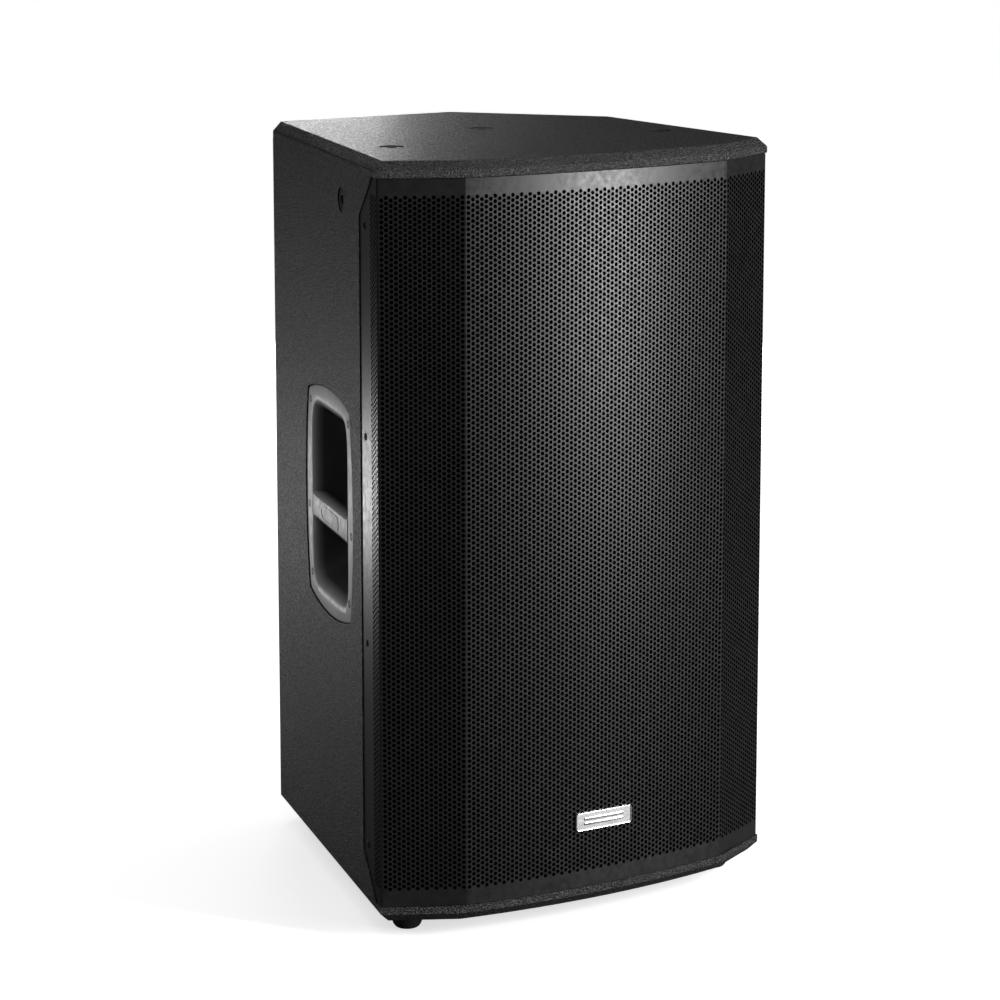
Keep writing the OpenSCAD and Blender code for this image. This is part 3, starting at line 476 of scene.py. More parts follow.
def soften(node, width):
    """Rounds a CAD node's sharp edges by modifiers, and leaves its mesh alone."""
    weld = node.modifiers.new("weld", "WELD")
    weld.merge_threshold = WELD_GAP
    if width:
        bevel = node.modifiers.new("soft_edges", "BEVEL")
        bevel.width = width
        bevel.segments = 2
        bevel.limit_method = "ANGLE"
        bevel.angle_limit = BEVEL_FROM
    normals = node.modifiers.new("normals", "WEIGHTED_NORMAL")
    normals.mode = "FACE_AREA_WITH_ANGLE"


def finish_cad_nodes():
    for part in frame["record"]["subparts"]:
        node = frame["nodes"][part["node"]]
        slot = part["material_slot"]
        node.data.materials.clear()
        node.data.materials.append(NODE_LOOKS.get(part["node"], MATERIALS[slot]))
        soften(node, 0 if part["node"] in NO_BEVEL else EDGE_WIDTH.get(slot, FINE_EDGE))


# ---- Grille: one bent sheet with staggered round holes ----
HOLE_R = 1.9 * MM
ROW_PITCH = 4.78 * MM
ROWS = 134
COLUMN = 4.28 * MM  # about this far apart; each stretch takes a whole number of columns
FACET_COLUMN = 4.18 * MM  # the same on the facets, where they stand a little closer
BEND_REACH = 2.0 * MM  # how far a side bend's curve reaches from its corner
FOLD_REACH = 0.6 * MM  # the same for the shallow folds of the front
BEND_STEPS = 5
FOLD_STEPS = 3
FLANGE_HOLES = 5
FLANGE_LEN = 60 * MM
FLANGE_SLOPE_S = 14 * MM
FLANGE_SLOPE_H = 38.5 * MM
HOLE_SIDES = 12
SECTIONS = 5  # the sheet is made in so many runs, which keeps each mesh small
SECTION_COLUMNS = 23


def side_line(side, s):
    return side.place(s, INSET, 0)[:2]


def inset_corner(side):
    """Where a side's line and its facet's line meet, both inset."""
    slope = math.tan(FACET)
    facet_at_0 = np.array([side.sign * HALF_W, CORNER_Y + INSET / math.cos(FACET)])
    p = side_line(side, 0.0)
    d = side.along[:2]
    # On the facet y falls by slope for each step of x away from the corner
    facet_y = facet_at_0[1] - slope * (HALF_W - side.sign * p[0])
    t = (facet_y - p[1]) / (d[1] - slope * side.sign * d[0])
    return p + t * d, t


def bow_point(x):
    return np.array([x, BOW_CENTRE_Y - math.sqrt((BOW_R - INSET) ** 2 - x * x)])


def fold_point(sign):
    """Where the inset facet meets the inset bow, found by halving the stretch that holds it."""
    low, high = FOLD_X - 5 * MM, FOLD_X
    for _ in range(40):
        x = (low + high) / 2
        facet_y = CORNER_Y + INSET / math.cos(FACET) - math.tan(FACET) * (HALF_W - x)
        low, high = (x, high) if bow_point(x)[1] < facet_y else (low, x)
    return bow_point(sign * x)


def rounded_corner(before, corner, after, steps):
    """Points of a quadratic curve that rounds a corner."""
    t = np.linspace(0, 1, steps + 1)[:, None]
    return (1 - t) ** 2 * before + 2 * t * (1 - t) * corner + t * t * after


def towards(a, b, distance):
    return a + (b - a) * distance / np.linalg.norm(b - a)


def half_path(side):
    """Column lines from a flange's rear edge to its fold, as (point, flange distance, perforated next)."""
    corner, corner_s = inset_corner(side)
    first_s = corner_s + BEND_REACH
    holes_s = first_s + FLANGE_HOLES * COLUMN
    lines = [(side_line(side, FLANGE_LEN), FLANGE_LEN, False)]
    lines += [(side_line(side, s), s, True) for s in np.linspace(holes_s, first_s, FLANGE_HOLES + 1)[:-1]]
    fold = fold_point(side.sign)
    facet_start = towards(corner, fold, BEND_REACH)
    facet_end = towards(fold, corner, FOLD_REACH)
    bend = rounded_corner(side_line(side, first_s), corner, facet_start, BEND_STEPS)
    lines += [(p, 0.0, False) for p in bend[:-1]]
    count = round(np.linalg.norm(facet_end - facet_start) / FACET_COLUMN)
    lines += [(p, 0.0, True) for p in np.linspace(facet_start, facet_end, count + 1)[:-1]]
    angle = math.asin(fold[0] / (BOW_R - INSET)) - side.sign * FOLD_REACH / BOW_R
    bow_start = bow_point((BOW_R - INSET) * math.sin(angle))
    bend = rounded_corner(facet_end, fold, bow_start, FOLD_STEPS)
    lines += [(p, 0.0, False) for p in bend[:-1]]
    return lines, angle


def grille_lines():
    """All column lines from the left flange to the right one, with outward normals."""
    left, left_angle = half_path(LEFT)
    right, right_angle = half_path(RIGHT)
    count = round((BOW_R - INSET) * (right_angle - left_angle) / COLUMN)
    angles = np.linspace(left_angle, right_angle, count + 1)
    bow = [(bow_point((BOW_R - INSET) * math.sin(a)), 0.0, True) for a in angles[:-1]]
    bow.append((bow_point((BOW_R - INSET) * math.sin(angles[-1])), 0.0, False))
    mirrored = right[::-1]
    tail = [(mirrored[k][0], mirrored[k][1], mirrored[k + 1][2] if k + 1 < len(mirrored) else False)
            for k in range(len(mirrored))]
    lines = left + bow + tail
    points = np.array([p for p, _, _ in lines])
    steps = np.diff(points, axis=0)
    steps /= np.linalg.norm(steps, axis=1)[:, None]
    tangents = np.vstack([steps[:1], steps[:-1] + steps[1:], steps[-1:]])
    tangents /= np.linalg.norm(tangents, axis=1)[:, None]
    normals = np.stack([tangents[:, 1], -tangents[:, 0]], 1)
    return points, normals, [s for _, s, _ in lines], [holed for _, _, holed in lines]


def level_heights(s):
    """Heights of a column line's vertices: the edge, every half row, and the other edge."""
    low, high = grille_low.z, grille_high.z
    start = (low + high - ROWS * ROW_PITCH) / 2
    inner = start + np.arange(2 * ROWS + 1) * ROW_PITCH / 2
    rise = max(0.0, (s - FLANGE_SLOPE_S) / (FLANGE_LEN - FLANGE_SLOPE_S)) * FLANGE_SLOPE_H
    if s == FLANGE_LEN:
        inner = np.interp(inner, [low, high], [low + rise, high - rise])
    return np.concatenate([[low + rise], inner, [high - rise]])


def grille_section(name, points, normals, distances, holed, first):
    """One run of columns as a closed mesh. first is its first column's number in the whole grille."""
    heights = np.array([level_heights(s) for s in distances])
    count, levels = heights.shape
    back = points - normals * SHEET
    sheets = []
    for xy in (points, back):
        sheets.append(np.dstack([np.repeat(xy[:, None, :], levels, 1), heights[..., None]]).reshape(-1, 3))
    verts = [*sheets]
    total = 2 * count * levels
    behind = count * levels
    around = turn(HOLE_SIDES)
    quads, pentagons, rims, walls = [], [], [], []

    def at(i, j):
        return i * levels + j

    def quad(a, b, c, d):
        quads.append(np.stack([a, b, c, d], -1).reshape(-1, 4))

    for i in range(count - 1):
        if holed[i]:
            shift = (first + i) % 2
            j = np.arange(ROWS - shift) * 2 + 1 + shift
            width = np.linalg.norm(points[i + 1] - points[i])
            share = 0.5 + HOLE_R * np.cos(around) / width
            z = heights[i, j + 1][:, None] + HOLE_R * np.sin(around)
            starts = []
            for xy in (points, back):
                flat = xy[i] + share[:, None] * (xy[i + 1] - xy[i])
                ring = np.dstack([np.repeat(flat[None], len(j), 0), z[..., None]]).reshape(-1, 3)
                verts.append(ring)
                starts.append(total)
                total += len(ring)
            corners = [at(i + 1, j + 1), at(i + 1, j + 2), at(i, j + 2),
                       at(i, j + 1), at(i, j), at(i + 1, j)]
            hole, bore = ([start + np.arange(len(j)) * HOLE_SIDES + k for k in range(HOLE_SIDES)]
                          for start in starts)
            for c in range(6):
                a, b = corners[c], corners[(c + 1) % 6]
                m = [(2 * c + k) % HOLE_SIDES for k in range(3)]
                pentagons.append(np.stack([a, b, hole[m[2]], hole[m[1]], hole[m[0]]], -1))
                pentagons.append(np.stack([b + behind, a + behind, bore[m[0]], bore[m[1]], bore[m[2]]], -1))
            for k in range(HOLE_SIDES):
                n = (k + 1) % HOLE_SIDES
                rims.append(np.stack([hole[k], hole[n], bore[n], bore[k]], -1))
            solid = [0, levels - 2] + ([1, levels - 3] if shift else [])
        else:
            solid = range(levels - 1)
        j = np.array(sorted(solid))
        quad(at(i, j), at(i + 1, j), at(i + 1, j + 1), at(i, j + 1))
        quad(at(i, j + 1) + behind, at(i + 1, j + 1) + behind, at(i + 1, j) + behind, at(i, j) + behind)
        top = levels - 1
        walls.append([at(i + 1, 0), at(i, 0), at(i, 0) + behind, at(i + 1, 0) + behind])
        walls.append([at(i, top), at(i + 1, top), at(i + 1, top) + behind, at(i, top) + behind])
    j = np.arange(levels - 1)
    last = count - 1
    ends = [np.stack([at(0, j), at(0, j + 1), at(0, j + 1) + behind, at(0, j) + behind], -1),
            np.stack([at(last, j + 1), at(last, j), at(last, j) + behind, at(last, j + 1) + behind], -1)]
    fours = np.vstack([*quads, *rims, np.array(walls), *ends])
    mesh = build_polygons(name, np.vstack(verts), [fours, np.vstack(pentagons)])
    link_piece(name, mesh, "grille_steel", ("grille",))


def build_polygons(name, verts, groups):
    """A mesh from arrays of faces, each array with its own number of corners."""
    mesh = bpy.data.meshes.new(name)
    mesh.vertices.add(len(verts))
    mesh.vertices.foreach_set("co", verts.astype(np.float32).ravel())
    corners = np.concatenate([g.ravel() for g in groups]).astype(np.int32)
    sizes = np.concatenate([np.full(len(g), g.shape[1]) for g in groups]).astype(np.int32)
    mesh.loops.add(len(corners))
    mesh.loops.foreach_set("vertex_index", corners)
    mesh.polygons.add(len(sizes))
    mesh.polygons.foreach_set("loop_start", np.concatenate([[0], np.cumsum(sizes)[:-1]]).astype(np.int32))
    shade_smooth(mesh)
    mesh.update(calc_edges=True)
    mesh.set_sharp_from_angle(angle=SHARP)
    return mesh


def grille():
    """The whole sheet, cut into its runs at column lines."""
    points, normals, distances, holed = grille_lines()
    columns = np.cumsum([0] + holed[:-1])  # how many columns of holes come before each line
    cuts = [0]
    for i, n in enumerate(columns):
        if n - columns[cuts[-1]] >= SECTION_COLUMNS and len(cuts) < SECTIONS:
            cuts.append(i)
    cuts.append(len(points) - 1)
    for k, (a, b) in enumerate(zip(cuts, cuts[1:])):
        run = slice(a, b + 1)
        grille_section(f"grille_sheet_{k + 1}", points[run], normals[run], distances[run], holed[run], a)


FOAM_FRONT = SHEET + 0.2 * MM  # the foam starts this far behind the grille's face
FOAM_THICK = 2.6 * MM
FOAM_WAVE = 0.35 * MM
FOAM_ROWS = 130
FOAM_MARGIN = 4  # column lines left free at each end
FOAM_WAVES_PER_METRE = 400


def foam_sheet():
    """Thin foam behind the grille's front, with a slightly uneven face."""
    points, normals, distances, _ = grille_lines()
    keep = [k for k, s in enumerate(distances) if s == 0.0][FOAM_MARGIN:-FOAM_MARGIN]
    foam_low, foam_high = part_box("grille_foam")
    mesh = Mesh()
    rows = []
    for z in np.linspace(foam_low.z, foam_high.z, FOAM_ROWS):
        front, rear = [], []
        for k in keep:
            spot = (points[k][0] * FOAM_WAVES_PER_METRE, z * FOAM_WAVES_PER_METRE, 0.5)
            bump = FOAM_WAVE * abs(noise.noise(spot))
            front.append((*(points[k] - normals[k] * (FOAM_FRONT + bump)), z))
            rear.append((*(points[k] - normals[k] * (FOAM_FRONT + FOAM_THICK)), z))
        rows.append(mesh.ring(front + rear[::-1]))
    for a, b in zip(rows, rows[1:]):
        mesh.bridge(a, b)
    n = len(keep)
    for row, flip in ((rows[0], True), (rows[-1], False)):
        for k in range(n - 1):
            face = (row[k], row[k + 1], row[2 * n - 2 - k], row[2 * n - 1 - k])
            mesh.faces.append(face[::-1] if flip else face)
    piece = make_piece("foam_sheet", mesh.verts, mesh.faces, "foam", replaces=("grille_foam",))


# ---- Handles ----
HANDLE_POINTS = 144
SIDE_ARC_R, END_ARC_R = 437 * MM, 301 * MM
HANDLE_HALF_W, HANDLE_HALF_H = 91.5 * MM, 110 * MM
CUP_CENTRE_Z = -1 * MM
FLANGE_DEEP = 1.1 * MM  # the flange's face lies this far below the side's face
FLANGE_GAP = 0.55 * MM  # and this far inside its recess
# The cup's inner surface in mm: depth, half width and half height, then how square its corners are
CUP_RINGS = [(0.0, 70, 97, 7), (0.25, 68.6, 94.6, 7), (0.9, 67.2, 92.3, 7), (2.2, 66.1, 89.6, 8),
             (4.0, 65.4, 87.2, 8), (7.0, 64.9, 84.8, 9), (11.0, 64.5, 83.0, 9), (17.0, 64.0, 81.0, 9),
             (24.0, 63.4, 78.0, 8), (31.0, 62.4, 73.5, 7), (37.5, 61.0, 67.0, 6), (43.0, 58.5, 59.0, 5),
             (46.4, 54.5, 50.0, 4.5), (47.5, 49.0, 40.0, 4)]
# Its outer surface, the same way
CUP_BACK = [(3.0, 67.9, 95.0, 9), (18.0, 67.6, 95.0, 9), (34.0, 66.6, 88.0, 8), (44.0, 63.5, 72.0, 6),
            (49.0, 57.0, 56.0, 5), (50.0, 48.0, 40.0, 4)]
# The flange's edge from back to face in mm: inset from its outline, depth
FLANGE_EDGE = [(0.0, 2.7), (0.0, 1.7), (0.15, 1.35), (0.5, 1.16), (1.1, 1.1), (9.0, 1.1)]
FLANGE_BACK = 3.0 * MM
SHADE_START = FLANGE_DEEP + 1.2 * MM  # painted shade darkens the cup from this depth, over SHADE_REACH
SHADE_REACH = 9 * MM


def handle_directions():
    """Unit vectors from the handle's centre to points spread round an ellipse of its size."""
    a = turn(HANDLE_POINTS)
    d = np.stack([np.cos(a) * HANDLE_HALF_W, np.sin(a) * HANDLE_HALF_H], 1)
    return d / np.linalg.norm(d, axis=1)[:, None]


def superellipse(a, half_w, half_h, power):
    """How far a rounded rectangle reaches along the directions a."""
    return (np.abs(np.cos(a) / half_w) ** power + np.abs(np.sin(a) / half_h) ** power) ** (-1 / power)


def barrel_ring(inset):
    """The flange's outline of four arcs, met by rays from its centre."""
    d = handle_directions()
    reach = np.full(len(d), 1.0)
    offset_x = SIDE_ARC_R - HANDLE_HALF_W
    offset_z = END_ARC_R - HANDLE_HALF_H
    for centre, r in (((offset_x, 0), SIDE_ARC_R), ((-offset_x, 0), SIDE_ARC_R),
                      ((0, offset_z), END_ARC_R), ((0, -offset_z), END_ARC_R)):
        c = np.array(centre)
        along = d @ c
        reach = np.minimum(reach, along + np.sqrt(along**2 - c @ c + (r - inset) ** 2))
    return d * reach[:, None]


def cup_ring(half_w, half_h, power):
    d = handle_directions()
    size = superellipse(np.arctan2(d[:, 1], d[:, 0]), half_w * MM, half_h * MM, power)
    return d * size[:, None] + np.array([0, CUP_CENTRE_Z])


def handle(side, node):
    """A flange, a cup and a grip bar. Each vertex gets a share of painted shade, by a depth noted for it."""
    low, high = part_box(node)
    centre_z = (low.z + high.z) / 2
    along = (islands(node)[0] - side.corner) @ side.along
    centre_s = (along.min() + along.max()) / 2
    mesh = Mesh()
    depths = []

    def ring(outline, depth):
        s = centre_s + outline[:, 0]
        depths.extend([depth] * len(outline))
        return mesh.ring(side.place(s, np.full(len(outline), depth), centre_z + outline[:, 1]))

    rings = [ring(barrel_ring(0.3 * MM + FLANGE_GAP), FLANGE_BACK)]
    for inset, depth in FLANGE_EDGE:
        rings.append(ring(barrel_ring(inset * MM + FLANGE_GAP), depth * MM))
    rings += [ring(cup_ring(w, h, p), depth * MM + FLANGE_DEEP * (1 - depth / CUP_RINGS[-1][0]))
              for depth, w, h, p in CUP_RINGS]
    backs = [ring(cup_ring(w, h, p), depth * MM) for depth, w, h, p in CUP_BACK]
    flip = side.sign < 0
    loops = rings if flip else [r[::-1] for r in rings]
    shell = backs if flip else [r[::-1] for r in backs]
    for a, b in zip(loops, loops[1:]):
        mesh.bridge(a, b)
    mesh.cap(loops[-1])
    mesh.bridge(shell[0], loops[0])
    for a, b in zip(shell, shell[1:]):
        mesh.bridge(b, a)
    mesh.cap(shell[-1], flip=True)
    grip_bar(mesh, depths, side, centre_s, centre_z)
    piece = make_piece(f"{side.name}_handle_moulding", mesh.verts, mesh.faces, "handle_plastic",
                       replaces=(node,))
    # the painted shade of the cup and of the bar's rear, stored for each vertex
    shade = piece.data.attributes.new("cup_depth", "FLOAT", "POINT")
    share = np.clip((np.array(depths) - SHADE_START) / SHADE_REACH, 0, 1) ** 0.6
    shade.data.foreach_set("value", share.astype(np.float32))


BAR_Z, BAR_HALF_H, BAR_REACH = -15.25 * MM, 12.25 * MM, 66.5 * MM
BAR_FRONT, BAR_BACK = 0.9 * MM, 18 * MM
BAR_ROUND, BAR_TOP_ROUND = 4.5 * MM, 2 * MM
BAR_FLARE = 10 * MM  # the bar widens towards the cup over this length
BAR_STATIONS = 25
ARC_STEPS = 7
BAR_SHADE_FROM = 6 * MM  # from this depth its surface gets the cup's painted shade
BAR_SHADED_AS = 12 * MM
BORDER_W, BORDER_H, BORDER_RISE, BORDER_LINE = 33 * MM, 7.5 * MM, 0.45 * MM, 1.4 * MM
BORDER_POINTS, BORDER_POWER = 64, 5


def grip_bar(mesh, depths, side, centre_s, centre_z):
    """A rounded bar across the cup, with a plain raised border on its face."""
    section = []
    for z_sign, from_face, start in ((1, False, 0), (1, True, 90), (-1, True, 180), (-1, False, 270)):
        r = BAR_TOP_ROUND if start == 90 else BAR_ROUND
        z = z_sign * (BAR_HALF_H - r)
        depth = BAR_FRONT + r if from_face else BAR_BACK - r
        for a in np.radians(np.linspace(start, start + 90, ARC_STEPS)):
            section.append((depth + r * math.cos(a), z + r * math.sin(a)))
    section = np.array(section)
    rings = []
    for s in np.linspace(-BAR_REACH, BAR_REACH, BAR_STATIONS):
        flare = 1 + 0.10 * max(0.0, (abs(s) - BAR_REACH + BAR_FLARE) / BAR_FLARE) ** 2
        z = BAR_Z + section[:, 1] * flare
        points = side.place(np.full(len(z), centre_s + s), section[:, 0], centre_z + z)
        rings.append(points[::-side.sign])
        # the bar's rear part gets the cup's painted shade, as if it lay deep in the cup
        shaded = [BAR_FRONT if d < BAR_SHADE_FROM else BAR_SHADED_AS for d in section[:, 0]]
        depths.extend(shaded[::side.sign])
    mesh.loft(rings)
    a = turn(BORDER_POINTS)
    rings = []
    foot, top = BAR_FRONT + 0.3 * MM, BAR_FRONT - BORDER_RISE
    for grow, depth in ((0, foot), (0, top), (-BORDER_LINE, top), (-BORDER_LINE, foot)):
        size = superellipse(a, BORDER_W + grow, BORDER_H + grow, BORDER_POWER)
        points = side.place(centre_s + size * np.cos(a), np.full(BORDER_POINTS, depth),
                            centre_z + BAR_Z + size * np.sin(a))
        rings.append(mesh.ring(points[::side.sign]))
        depths.extend([0.0] * BORDER_POINTS)
    for a, b in zip(rings, rings[1:] + rings[:1]):
        mesh.bridge(b, a)


# ---- Screws with hexagon sockets ----
SCREW_SIDES = 36
SHANK_R = 1.7 * MM
HEAD_TOP = 0.05 * MM  # points within this of a screw's highest one belong to its head's top


def screw_set(name, node, axes, head_r, head_h, socket, shank_l, countersunk=False, sunk=0.0):
    """Replaces a node of plain screws. axes gives each screw's outward direction from its points."""
    mesh = Mesh()
    for points in islands(node):
        axis = axes(points)
        along = points @ axis
        top = points[along > along.max() - HEAD_TOP].mean(0) - axis * sunk
        facing = frame_from(axis)
        bottom_r = SHANK_R if countersunk else head_r
        if countersunk:
            head = [(1.0, 0.06), (0.97, 0.0)]
        else:
            head = [(1.0, 0.35), (0.93, 0.10), (0.78, 0.0)]
        rings = [(SHANK_R * 0.4, -head_h - shank_l), (SHANK_R, -head_h - shank_l + SHANK_R),
                 (SHANK_R, -head_h), (bottom_r, -head_h)]
        rings += [(head_r * share, -head_h * depth) for share, depth in head]
        profile = [circle(r, z, SCREW_SIDES) for r, z in rings]
        profile += [hexagon(socket, 0, SCREW_SIDES), hexagon(socket, -head_h * 0.7, SCREW_SIDES)]
        mesh.loft([top + ring @ facing.T for ring in profile])
    make_piece(name, mesh.verts, mesh.faces, "black_screws", replaces=(node,))


def side_axis(points):
    return LEFT.out if points[:, 0].mean() < 0 else RIGHT.out


def screws():
    screw_set("handle_screw_set", "handle_screws", side_axis, head_r=4.0 * MM, head_h=1.9 * MM,
              socket=1.5 * MM, shank_l=8.5 * MM, countersunk=True, sunk=FLANGE_DEEP - 0.45 * MM)
    screw_set("grille_screw_set", "grille_screws", side_axis, head_r=3.3 * MM, head_h=1.1 * MM,
              socket=1.2 * MM, shank_l=12 * MM)
    screw_set("amp_screw_set", "amp_panel_screws", lambda points: np.array([0, 1.0, 0]),
              head_r=3.6 * MM, head_h=2.2 * MM, socket=1.6 * MM, shank_l=12 * MM)


# ---- Feet ----
FOOT_SIDES = 48
FOOT_ROUND = 6 * MM
FOOT_RECESS_R, FOOT_BORE_R = 5 * MM, 2.3 * MM
FOOT_RECESS_TOP = 4 * MM  # rubber above the recess


def feet():
    """Moulded rubber feet with a rounded skirt and a recess for the screw."""
    mesh = Mesh()
    for points in islands("feet"):
        low, high = points.min(0), points.max(0)
        middle = (low + high) / 2
        tall = high[2] - low[2]
        r = (high[0] - low[0]) / 2
        skirt = tall * 0.62
        recess = tall - FOOT_RECESS_TOP
        profile = [(FOOT_BORE_R, tall), (r * 0.97, tall), (r, tall - 0.6 * MM), (r, skirt)]
        profile += [(r - FOOT_ROUND * (1 - math.cos(a)), skirt * (1 - math.sin(a)))
                    for a in np.radians(np.linspace(15, 90, 9))]
        profile += [(FOOT_RECESS_R + 0.6 * MM, 0), (FOOT_RECESS_R + 0.1 * MM, 0.4 * MM),
                    (FOOT_RECESS_R, recess), (FOOT_BORE_R, recess)]
        rings = [mesh.ring(circle(pr, low[2] + pz, FOOT_SIDES) + np.array([middle[0], middle[1], 0]))
                 for pr, pz in profile]
        for a, b in zip(rings, rings[1:] + rings[:1]):
            mesh.bridge(b, a)
    make_piece("rubber_feet", mesh.verts, mesh.faces, "rubber", replaces=("feet",))


# ---- Name plate ----
def name_plate():
    """A thin metal plate bent to the bow, with a raised rim and two plain raised bars."""
    low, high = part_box("nameplate")
    half_w, half_h = (high.x - low.x) / 2, (high.z - low.z) / 2
    face_r = BOW_R - INSET
    proud = -low.y - (face_r - BOW_CENTRE_Y)
    mesh = Mesh()

    def outline(w, h, corner, z=0.0):
        points = []
        for sx, sz, start in ((1, 1, 0), (-1, 1, 90), (-1, -1, 180), (1, -1, 270)):
            for a in np.radians(np.linspace(start, start + 90, 9)):
                points.append((sx * (w - corner) + corner * math.cos(a),
                               z + sz * (h - corner) + corner * math.sin(a)))
        return np.array(points)

    def bent(outline, rise):
        r = face_r + rise
        y = BOW_CENTRE_Y - np.sqrt(r * r - outline[:, 0] ** 2)
        return np.stack([outline[:, 0], y, (low.z + high.z) / 2 + outline[:, 1]], 1)

    bar_w, bar_h, bar_z = 22 * MM, 1.3 * MM, 2.3 * MM
    corner = 3 * MM
    field = proud * 0.62
    # Steps of the plate's edge and of a bar's edge: inset in mm, rise above the grille's face
    edge = [(0, 0.02 * MM), (0, proud * 0.75), (0.2, proud * 0.93), (0.55, proud * 0.995),
            (1.0, proud * 0.93), (1.35, field), (2.6, field)]
    bar_edge = [(0, field - 0.1 * MM), (0, field + 0.35 * MM), (0.25, field + 0.5 * MM)]
    mesh.loft([bent(outline(half_w - i * MM, half_h - i * MM, corner - min(i, 2) * MM), rise)
               for i, rise in edge])
    for z in (bar_z, -bar_z):
        mesh.loft([bent(outline(bar_w - i * MM, bar_h - i * MM, bar_h * 0.98 - i * MM, z), rise)
                   for i, rise in bar_edge])
    make_piece("name_plate", mesh.verts, mesh.faces, "nameplate_metal", replaces=("nameplate",))


# ---- Wadding ----
PAD_WELD = 0.05 * MM
PAD_VOXEL = 6 * MM
PAD_DIPS = ((3.0 * MM, 35), (0.8 * MM, 160))  # depth of the dips, and their number per metre


def wadding():
    """Soft uneven pads in place of the plain ones."""
    source = frame["nodes"]["damping_wadding"]
    copy = bpy.data.objects.new("wadding_pads", source.data.copy())
    bpy.context.scene.collection.objects.link(copy)
    weld = copy.modifiers.new("weld", "WELD")
    weld.merge_threshold = PAD_WELD
    remesh = copy.modifiers.new("remesh", "REMESH")
    remesh.mode = "VOXEL"
    remesh.voxel_size = PAD_VOXEL
    smooth = copy.modifiers.new("smooth", "SMOOTH")
    smooth.factor = 0.6
    smooth.iterations = 12
    graph = bpy.context.evaluated_depsgraph_get()
    mesh = bpy.data.meshes.new_from_object(copy.evaluated_get(graph))
    bpy.data.objects.remove(copy)
    normals = [v.normal.copy() for v in mesh.vertices]
    for v, normal in zip(mesh.vertices, normals):
        v.co -= normal * sum(depth * abs(noise.noise(v.co * scale)) for depth, scale in PAD_DIPS)
    mesh.materials.clear()
    shade_smooth(mesh)
    pads = link_piece("wadding_pads", mesh, "wadding", ("damping_wadding",))


# ---- Dial marks on the amplifier plate ----
TICKS = 11
TICK_RADIUS = 13.5 * MM
TICK_HALF_L, TICK_HALF_W = 1.5 * MM, 0.3 * MM
TICK_DEPTHS = (-0.05 * MM, 0.12 * MM)  # below and above the plate's face


def dial_marks():
    """Printed ticks round each level knob."""
    plate_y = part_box("amp_panel")[1].y
    mesh = Mesh()

    def tick(centre, direction):
        side = np.array([-direction[1], direction[0]])
        corners = [centre + a * TICK_HALF_L * direction + b * TICK_HALF_W * side
                   for a, b in ((-1, -1), (1, -1), (1, 1), (-1, 1))]
        rings = [[(c[0], plate_y + y, c[1]) for c in corners] for y in TICK_DEPTHS]
        mesh.loft([r[::-1] for r in rings])

    for node in ("input_level_knob", "master_level_knob"):
        low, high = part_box(node)
        centre = np.array([(low.x + high.x) / 2, (low.z + high.z) / 2])
        for a in np.radians(np.linspace(-60, 240, TICKS)):
            d = np.array([math.cos(a), math.sin(a)])
            tick(centre + TICK_RADIUS * d, d)
    make_piece("dial_ticks", mesh.verts, mesh.faces, "light_plastic")


# ---- Floor, light and camera ----
def stage_material(pale, glow, dark):
    """Pale and faintly glowing to the camera, and dark in the light that it throws back at the object."""
    material = bpy.data.materials.new("floor")
    material.use_nodes = True
    tree = material.node_tree
    tree.nodes.remove(tree.nodes["Principled BSDF"])
    seen = tree.nodes.new("ShaderNodeAddShader")
    emission = tree.nodes.new("ShaderNodeEmission")
    emission.inputs["Strength"].default_value = glow
    mix = tree.nodes.new("ShaderNodeMixShader")
    ray = tree.nodes.new("ShaderNodeLightPath")
    for value, target in ((pale, seen.inputs[0]), (dark, mix.inputs[1])):
        diffuse = tree.nodes.new("ShaderNodeBsdfDiffuse")
        diffuse.inputs["Color"].default_value = (*grey(value), 1)
        tree.links.new(diffuse.outputs[0], target)
    tree.links.new(emission.outputs[0], seen.inputs[1])
    tree.links.new(seen.outputs[0], mix.inputs[2])
    tree.links.new(ray.outputs["Is Camera Ray"], mix.inputs[0])
    tree.links.new(mix.outputs[0], tree.nodes["Material Output"].inputs["Surface"])
    return material


FLOOR_HALF = 60


def floor():
    mesh = bpy.data.meshes.new("floor")
    corners = [(x * FLOOR_HALF, y * FLOOR_HALF, 0) for x, y in ((-1, -1), (1, -1), (1, 1), (-1, 1))]
    mesh.from_pydata(corners, [], [(0, 1, 2, 3)])
    plane = bpy.data.objects.new("floor", mesh)
    bpy.context.scene.collection.objects.link(plane)
    mesh.materials.append(stage_material(pale=0.85, glow=0.63, dark=0.12))


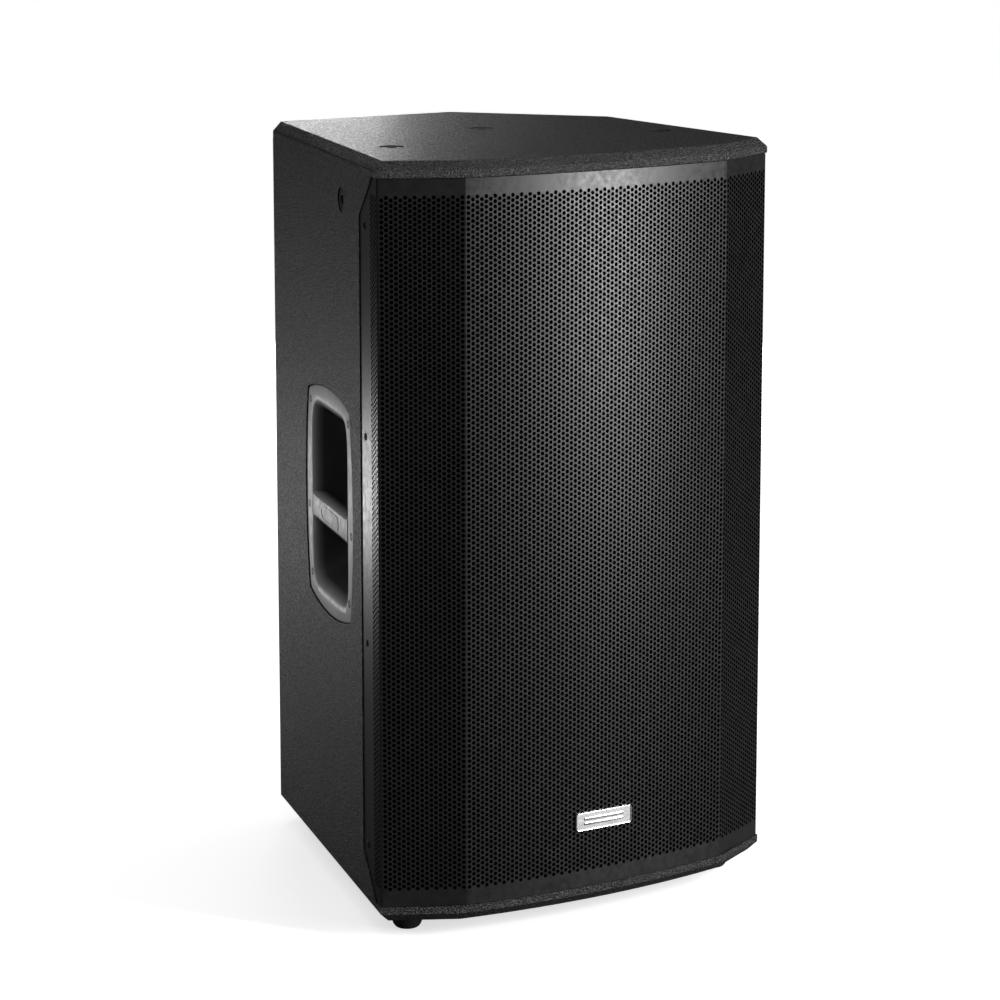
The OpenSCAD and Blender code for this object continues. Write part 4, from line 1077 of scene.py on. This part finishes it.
def world_light():
    """White behind the object, bright soft light from above, and a dim studio in reflections."""
    world = bpy.data.worlds.new("studio")
    bpy.context.scene.world = world
    world.use_nodes = True
    tree = world.node_tree
    tree.nodes.clear()
    output = tree.nodes.new("ShaderNodeOutputWorld")
    ray = tree.nodes.new("ShaderNodeLightPath")
    position = tree.nodes.new("ShaderNodeTexCoord")
    height = tree.nodes.new("ShaderNodeSeparateXYZ")
    tree.links.new(position.outputs["Generated"], height.inputs[0])

    def background(value):
        node = tree.nodes.new("ShaderNodeBackground")
        node.inputs["Color"].default_value = (1, 1, 1, 1)
        node.inputs["Strength"].default_value = value
        return node

    def mixed(factor, a, b):
        node = tree.nodes.new("ShaderNodeMixShader")
        tree.links.new(factor, node.inputs[0])
        tree.links.new(a.outputs[0], node.inputs[1])
        tree.links.new(b.outputs[0], node.inputs[2])
        return node

    soft = mixed(height.outputs["Z"], background(0.10), background(0.60))
    reflected = mixed(height.outputs["Z"], background(0.02), background(0.14))
    lit = mixed(ray.outputs["Is Glossy Ray"], soft, reflected)
    seen = mixed(ray.outputs["Is Camera Ray"], lit, background(1.5))
    tree.links.new(seen.outputs[0], output.inputs["Surface"])


def area_light(name, place, target, width, height, power):
    data = bpy.data.lights.new(name, "AREA")
    data.shape = "RECTANGLE"
    data.size, data.size_y = width, height
    data.energy = power
    light = bpy.data.objects.new(name, data)
    light.location = place
    light.rotation_euler = (Vector(target) - Vector(place)).to_track_quat("-Z", "Y").to_euler()
    light.visible_camera = False
    bpy.context.scene.collection.objects.link(light)


def lights():
    area_light("bow_softbox", place=(1.455, -2.384, 1.0), target=(0.02, -0.216, 0.45),
               width=0.42, height=1.9, power=92)
    area_light("side_softbox", place=(-0.25, 1.3, 0.13), target=(-0.16, 0.0, 0.34),
               width=0.26, height=0.14, power=1.2)
    area_light("top_softbox", place=(0.36, 1.02, 0.87), target=(-0.17, 0.0, 0.717),
               width=0.22, height=0.16, power=1.3)
    area_light("rear_fill", place=(1.7, 2.8, 0.42), target=(0, 0.2, 0.36),
               width=1.4, height=0.5, power=42)


def camera():
    data = bpy.data.cameras.new("camera")
    data.lens = 122.72
    data.sensor_width = 36
    data.shift_y = -0.06
    data.clip_end = 200
    view = bpy.data.objects.new("camera", data)
    view.location = (-1.7047, -2.7628, 1.0294)
    view.rotation_euler = (math.radians(90 - 10.628), 0, math.radians(-31.987))
    bpy.context.scene.collection.objects.link(view)
    bpy.context.scene.camera = view


camera()
finish_cad_nodes()
grille()
foam_sheet()
handle(LEFT, "left_handle")
handle(RIGHT, "right_handle")
screws()
feet()
name_plate()
wadding()
dial_marks()
floor()
world_light()
lights()
bpy.context.scene.view_settings.view_transform = "Standard"
